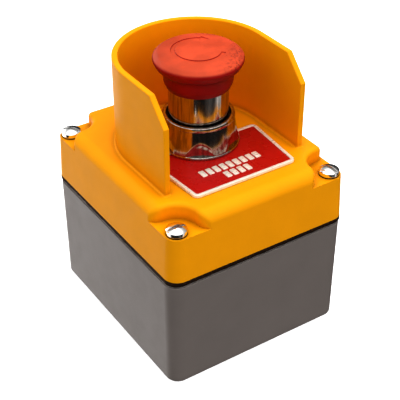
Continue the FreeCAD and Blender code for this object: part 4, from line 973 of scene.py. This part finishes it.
def build_gasket(materials):
    """Foam gasket squeezed out unevenly between box and lid."""
    low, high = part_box("lid_gasket")
    thick = high.z - low.z
    steps = [
        (FLANGE, 0.0),
        (0.45 * MM, 0.0),
        (0.45 * MM, -SQUEEZED_DOWN),
        (0.20 * MM, -SQUEEZED_DOWN - 0.03),
        (0.03 * MM, -0.1),
        (0.0, 0.4),
        (0.03 * MM, 0.85),
        (0.20 * MM, 1.0),
        (FLANGE, 1.0),
    ]
    loops = []
    for inset, share in steps:
        loop = []
        for point in gasket_outline(high.x, high.y):
            place = Vector((point.x, point.y, low.z + share * thick))
            out = min(raggedness(place), MOST_RAGGED) if inset < FLANGE else 0.0
            place.xy += inward_from(point, high.x, high.y) * (inset - out)
            loop.append(place)
        loops.append(loop)
    loops.append(loops[0])
    skin = loops_to_faces(loops)
    gasket = finish_mesh("lid_gasket_foam", skin, "enclosure", materials["gasket_rubber"])
    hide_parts("lid_gasket")


# ------------------------------------------------------------------ springs that are squeezed

WIRE_SIDES = 10
POINTS_PER_COIL = 28
FLAT_TURNS = 0.5
# each spring's CAD node, the radius of its wire and its number of turns
SQUEEZED_SPRINGS = (
    ("return_spring", 0.6 * MM, 5),
    ("contact_spring_left", 0.35 * MM, 7),
    ("contact_spring_right", 0.35 * MM, 7),
)


def coil_spring(low, high, wire, turns):
    """Vertices and faces of a round wire wound upwards. Half a turn lies flat at each end."""
    centre = (low + high) / 2
    radius = (high.x - low.x) / 2 - wire
    climb = high.z - low.z - 2 * wire
    count = turns * POINTS_PER_COIL
    loops = []
    for k in range(count + 1):
        turn = turns * k / count
        rise = min(1.0, max(0.0, (turn - FLAT_TURNS) / (turns - 2 * FLAT_TURNS)))
        middle = Vector((centre.x, centre.y, low.z + wire + climb * rise))
        out = Vector((math.cos(2 * math.pi * turn), math.sin(2 * math.pi * turn), 0))
        loop = []
        for side in range(WIRE_SIDES):
            around = 2 * math.pi * side / WIRE_SIDES
            lift = Vector((0, 0, wire * math.sin(around)))
            loop.append(middle + out * (radius + wire * math.cos(around)) + lift)
        loops.append(loop)
    vertices, faces = loops_to_faces(loops)
    faces.append(tuple(range(WIRE_SIDES)))
    faces.append(tuple(range(len(vertices) - 1, len(vertices) - WIRE_SIDES - 1, -1)))
    return vertices, faces


def build_springs(materials):
    """The springs under the button, wound as coils that stand on fixed seats."""
    for node, wire, turns in SQUEEZED_SPRINGS:
        low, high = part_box(node)
        skin = coil_spring(low, high, wire, turns)
        spring = finish_mesh(f"{node}_coil", skin, "enclosure", materials["spring_steel"])
        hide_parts(node)
        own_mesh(spring)


# ------------------------------------------------------------------ stage

AZIMUTH, ELEVATION = math.radians(-33.39), math.radians(35.18)
LENS, SENSOR = 93.96, 36.0
NEAREST_SEEN = 0.01
# where the camera aims: off the middle across and along, and up from the foot, as shares of the box
AIM_SHARES = (-0.0425, -0.0845, 0.4508)
DISTANCE_IN_HEIGHTS = 3.60
FLOOR_HALF = 3.0
FLOOR_GAP = 0.05 * MM
BACKDROP = 1.25


def place_camera():
    """The camera, aimed from the object's own box."""
    low, high = CAD_BOUNDS
    side = high - low
    middle = (low + high) / 2
    aim = Vector((
        middle.x + AIM_SHARES[0] * side.x,
        middle.y + AIM_SHARES[1] * side.y,
        low.z + AIM_SHARES[2] * side.z,
    ))
    back = Vector((
        math.sin(AZIMUTH) * math.cos(ELEVATION),
        -math.cos(AZIMUTH) * math.cos(ELEVATION),
        math.sin(ELEVATION),
    ))
    data = bpy.data.cameras.new("camera")
    data.lens = LENS
    data.sensor_width = SENSOR
    data.clip_start = NEAREST_SEEN
    camera = bpy.data.objects.new("camera", data)
    bpy.context.scene.collection.objects.link(camera)
    camera.location = aim + back * DISTANCE_IN_HEIGHTS * side.z
    camera.rotation_euler = back.to_track_quat("Z", "Y").to_euler()
    bpy.context.scene.camera = camera


def floor_paint():
    """Nearly white paint with faint clouds and a little light of its own."""
    n = Nodes("pale_floor")
    colour = n.mixed(n.noise(0.3, detail=2.0), (0.95, 0.95, 0.95), (0.98, 0.98, 0.98))
    return n.finish(colour, 0.7, emission_color=(1.0, 1.0, 1.0), emission_strength=0.3)


def build_floor():
    """A plain pale floor. It shows shadows, but throws no light back on the object."""
    mesh = bpy.data.meshes.new("floor")
    half = FLOOR_HALF
    corners = [(-half, -half, 0), (half, -half, 0), (half, half, 0), (-half, half, 0)]
    mesh.from_pydata(corners, [], [(0, 1, 2, 3)])
    mesh.materials.append(floor_paint())
    floor = bpy.data.objects.new("floor", mesh)
    bpy.context.scene.collection.objects.link(floor)
    floor.location.z = CAD_BOUNDS[0].z - FLOOR_GAP
    floor.visible_diffuse = False
    floor.visible_glossy = False


class WorldNodes(Nodes):
    """Node helpers for the studio's surroundings."""

    def __init__(self):
        world = bpy.data.worlds.new("studio")
        bpy.context.scene.world = world
        world.use_nodes = True
        world.cycles.sampling_method = "NONE"
        self.tree = world.node_tree
        self.tree.nodes.clear()
        self.direction = self.add("ShaderNodeTexCoord").outputs["Generated"]

    def lobe(self, azimuth, elevation, start, end, strength):
        """A soft patch of light round a direction in degrees, from angle start out to angle end."""
        a, e = math.radians(azimuth), math.radians(elevation)
        dot = self.add("ShaderNodeVectorMath", operation="DOT_PRODUCT")
        self.link(self.direction, dot.inputs[0])
        dot.inputs[1].default_value = (math.cos(a) * math.cos(e), math.sin(a) * math.cos(e), math.sin(e))
        low, high = math.cos(math.radians(end)), math.cos(math.radians(start))
        return self.between(dot.outputs["Value"], low, high, 0.0, strength)

    def total(self, parts):
        """The sum of several lights. The last may be a plain number."""
        value = parts[0]
        for part in parts[1:]:
            value = self.maths("ADD", value, part)
        return value

    def switch(self, share, first, second):
        """The first number where share is 0, the second where it is 1."""
        node = self.add("ShaderNodeMix", data_type="FLOAT")
        for socket, value in zip(node.inputs[:1] + node.inputs[2:4], (share, first, second)):
            self.feed(socket, value)
        return node.outputs[0]


def build_world():
    """A white tent overhead. Shiny surfaces see a bright back, and a dark front with a low bright patch."""
    w = WorldNodes()
    tent = w.lobe(90, 90, 55, 100, 1.95)
    front_fill = w.lobe(-75, 50, 5, 60, 0.9)
    floor_light = w.lobe(0, -90, 0, 90, 0.35)
    soft = w.total([tent, front_fill, floor_light, 0.04])
    mirrored_tent = w.lobe(90, 90, 15, 80, 0.95)
    tent_middle = w.lobe(90, 90, 8, 45, 1.3)
    bright_back = w.lobe(125, -8, 8, 62, 4.2)
    low_patch = w.lobe(-43, -32, 7, 14, 1.0)
    faint_front = w.lobe(-77, -33, 5, 22, 0.13)
    faint_right = w.lobe(20, -20, 0, 40, 0.10)
    mirrored = w.total(
        [mirrored_tent, tent_middle, bright_back, low_patch, faint_front, faint_right, 0.03]
    )
    path = w.add("ShaderNodeLightPath").outputs
    light = w.switch(path["Is Glossy Ray"], soft, mirrored)
    background = w.add("ShaderNodeBackground")
    w.link(w.switch(path["Is Camera Ray"], light, BACKDROP), background.inputs["Strength"])
    output = w.add("ShaderNodeOutputWorld")
    w.link(background.outputs[0], output.inputs["Surface"])


def set_view():
    """Plain colours, a little lighter in the shadows."""
    view = bpy.context.scene.view_settings
    view.view_transform = "Standard"
    view.gamma = 0.8


# ------------------------------------------------------------------ all together


def dress_cad_nodes(materials):
    """Gives every CAD node that stays its finished material."""
    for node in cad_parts.values():
        for slot in node.material_slots:
            slot.material = materials[slot.material.name.split(".")[0]]


finishes = make_materials()
dress_cad_nodes(finishes)
build_head(finishes)
build_bezel(finishes)
build_border(finishes)
build_field(finishes)
build_bars(finishes)
build_screws(finishes)
build_gasket(finishes)
build_springs(finishes)
build_floor()
build_world()
place_camera()
set_view()
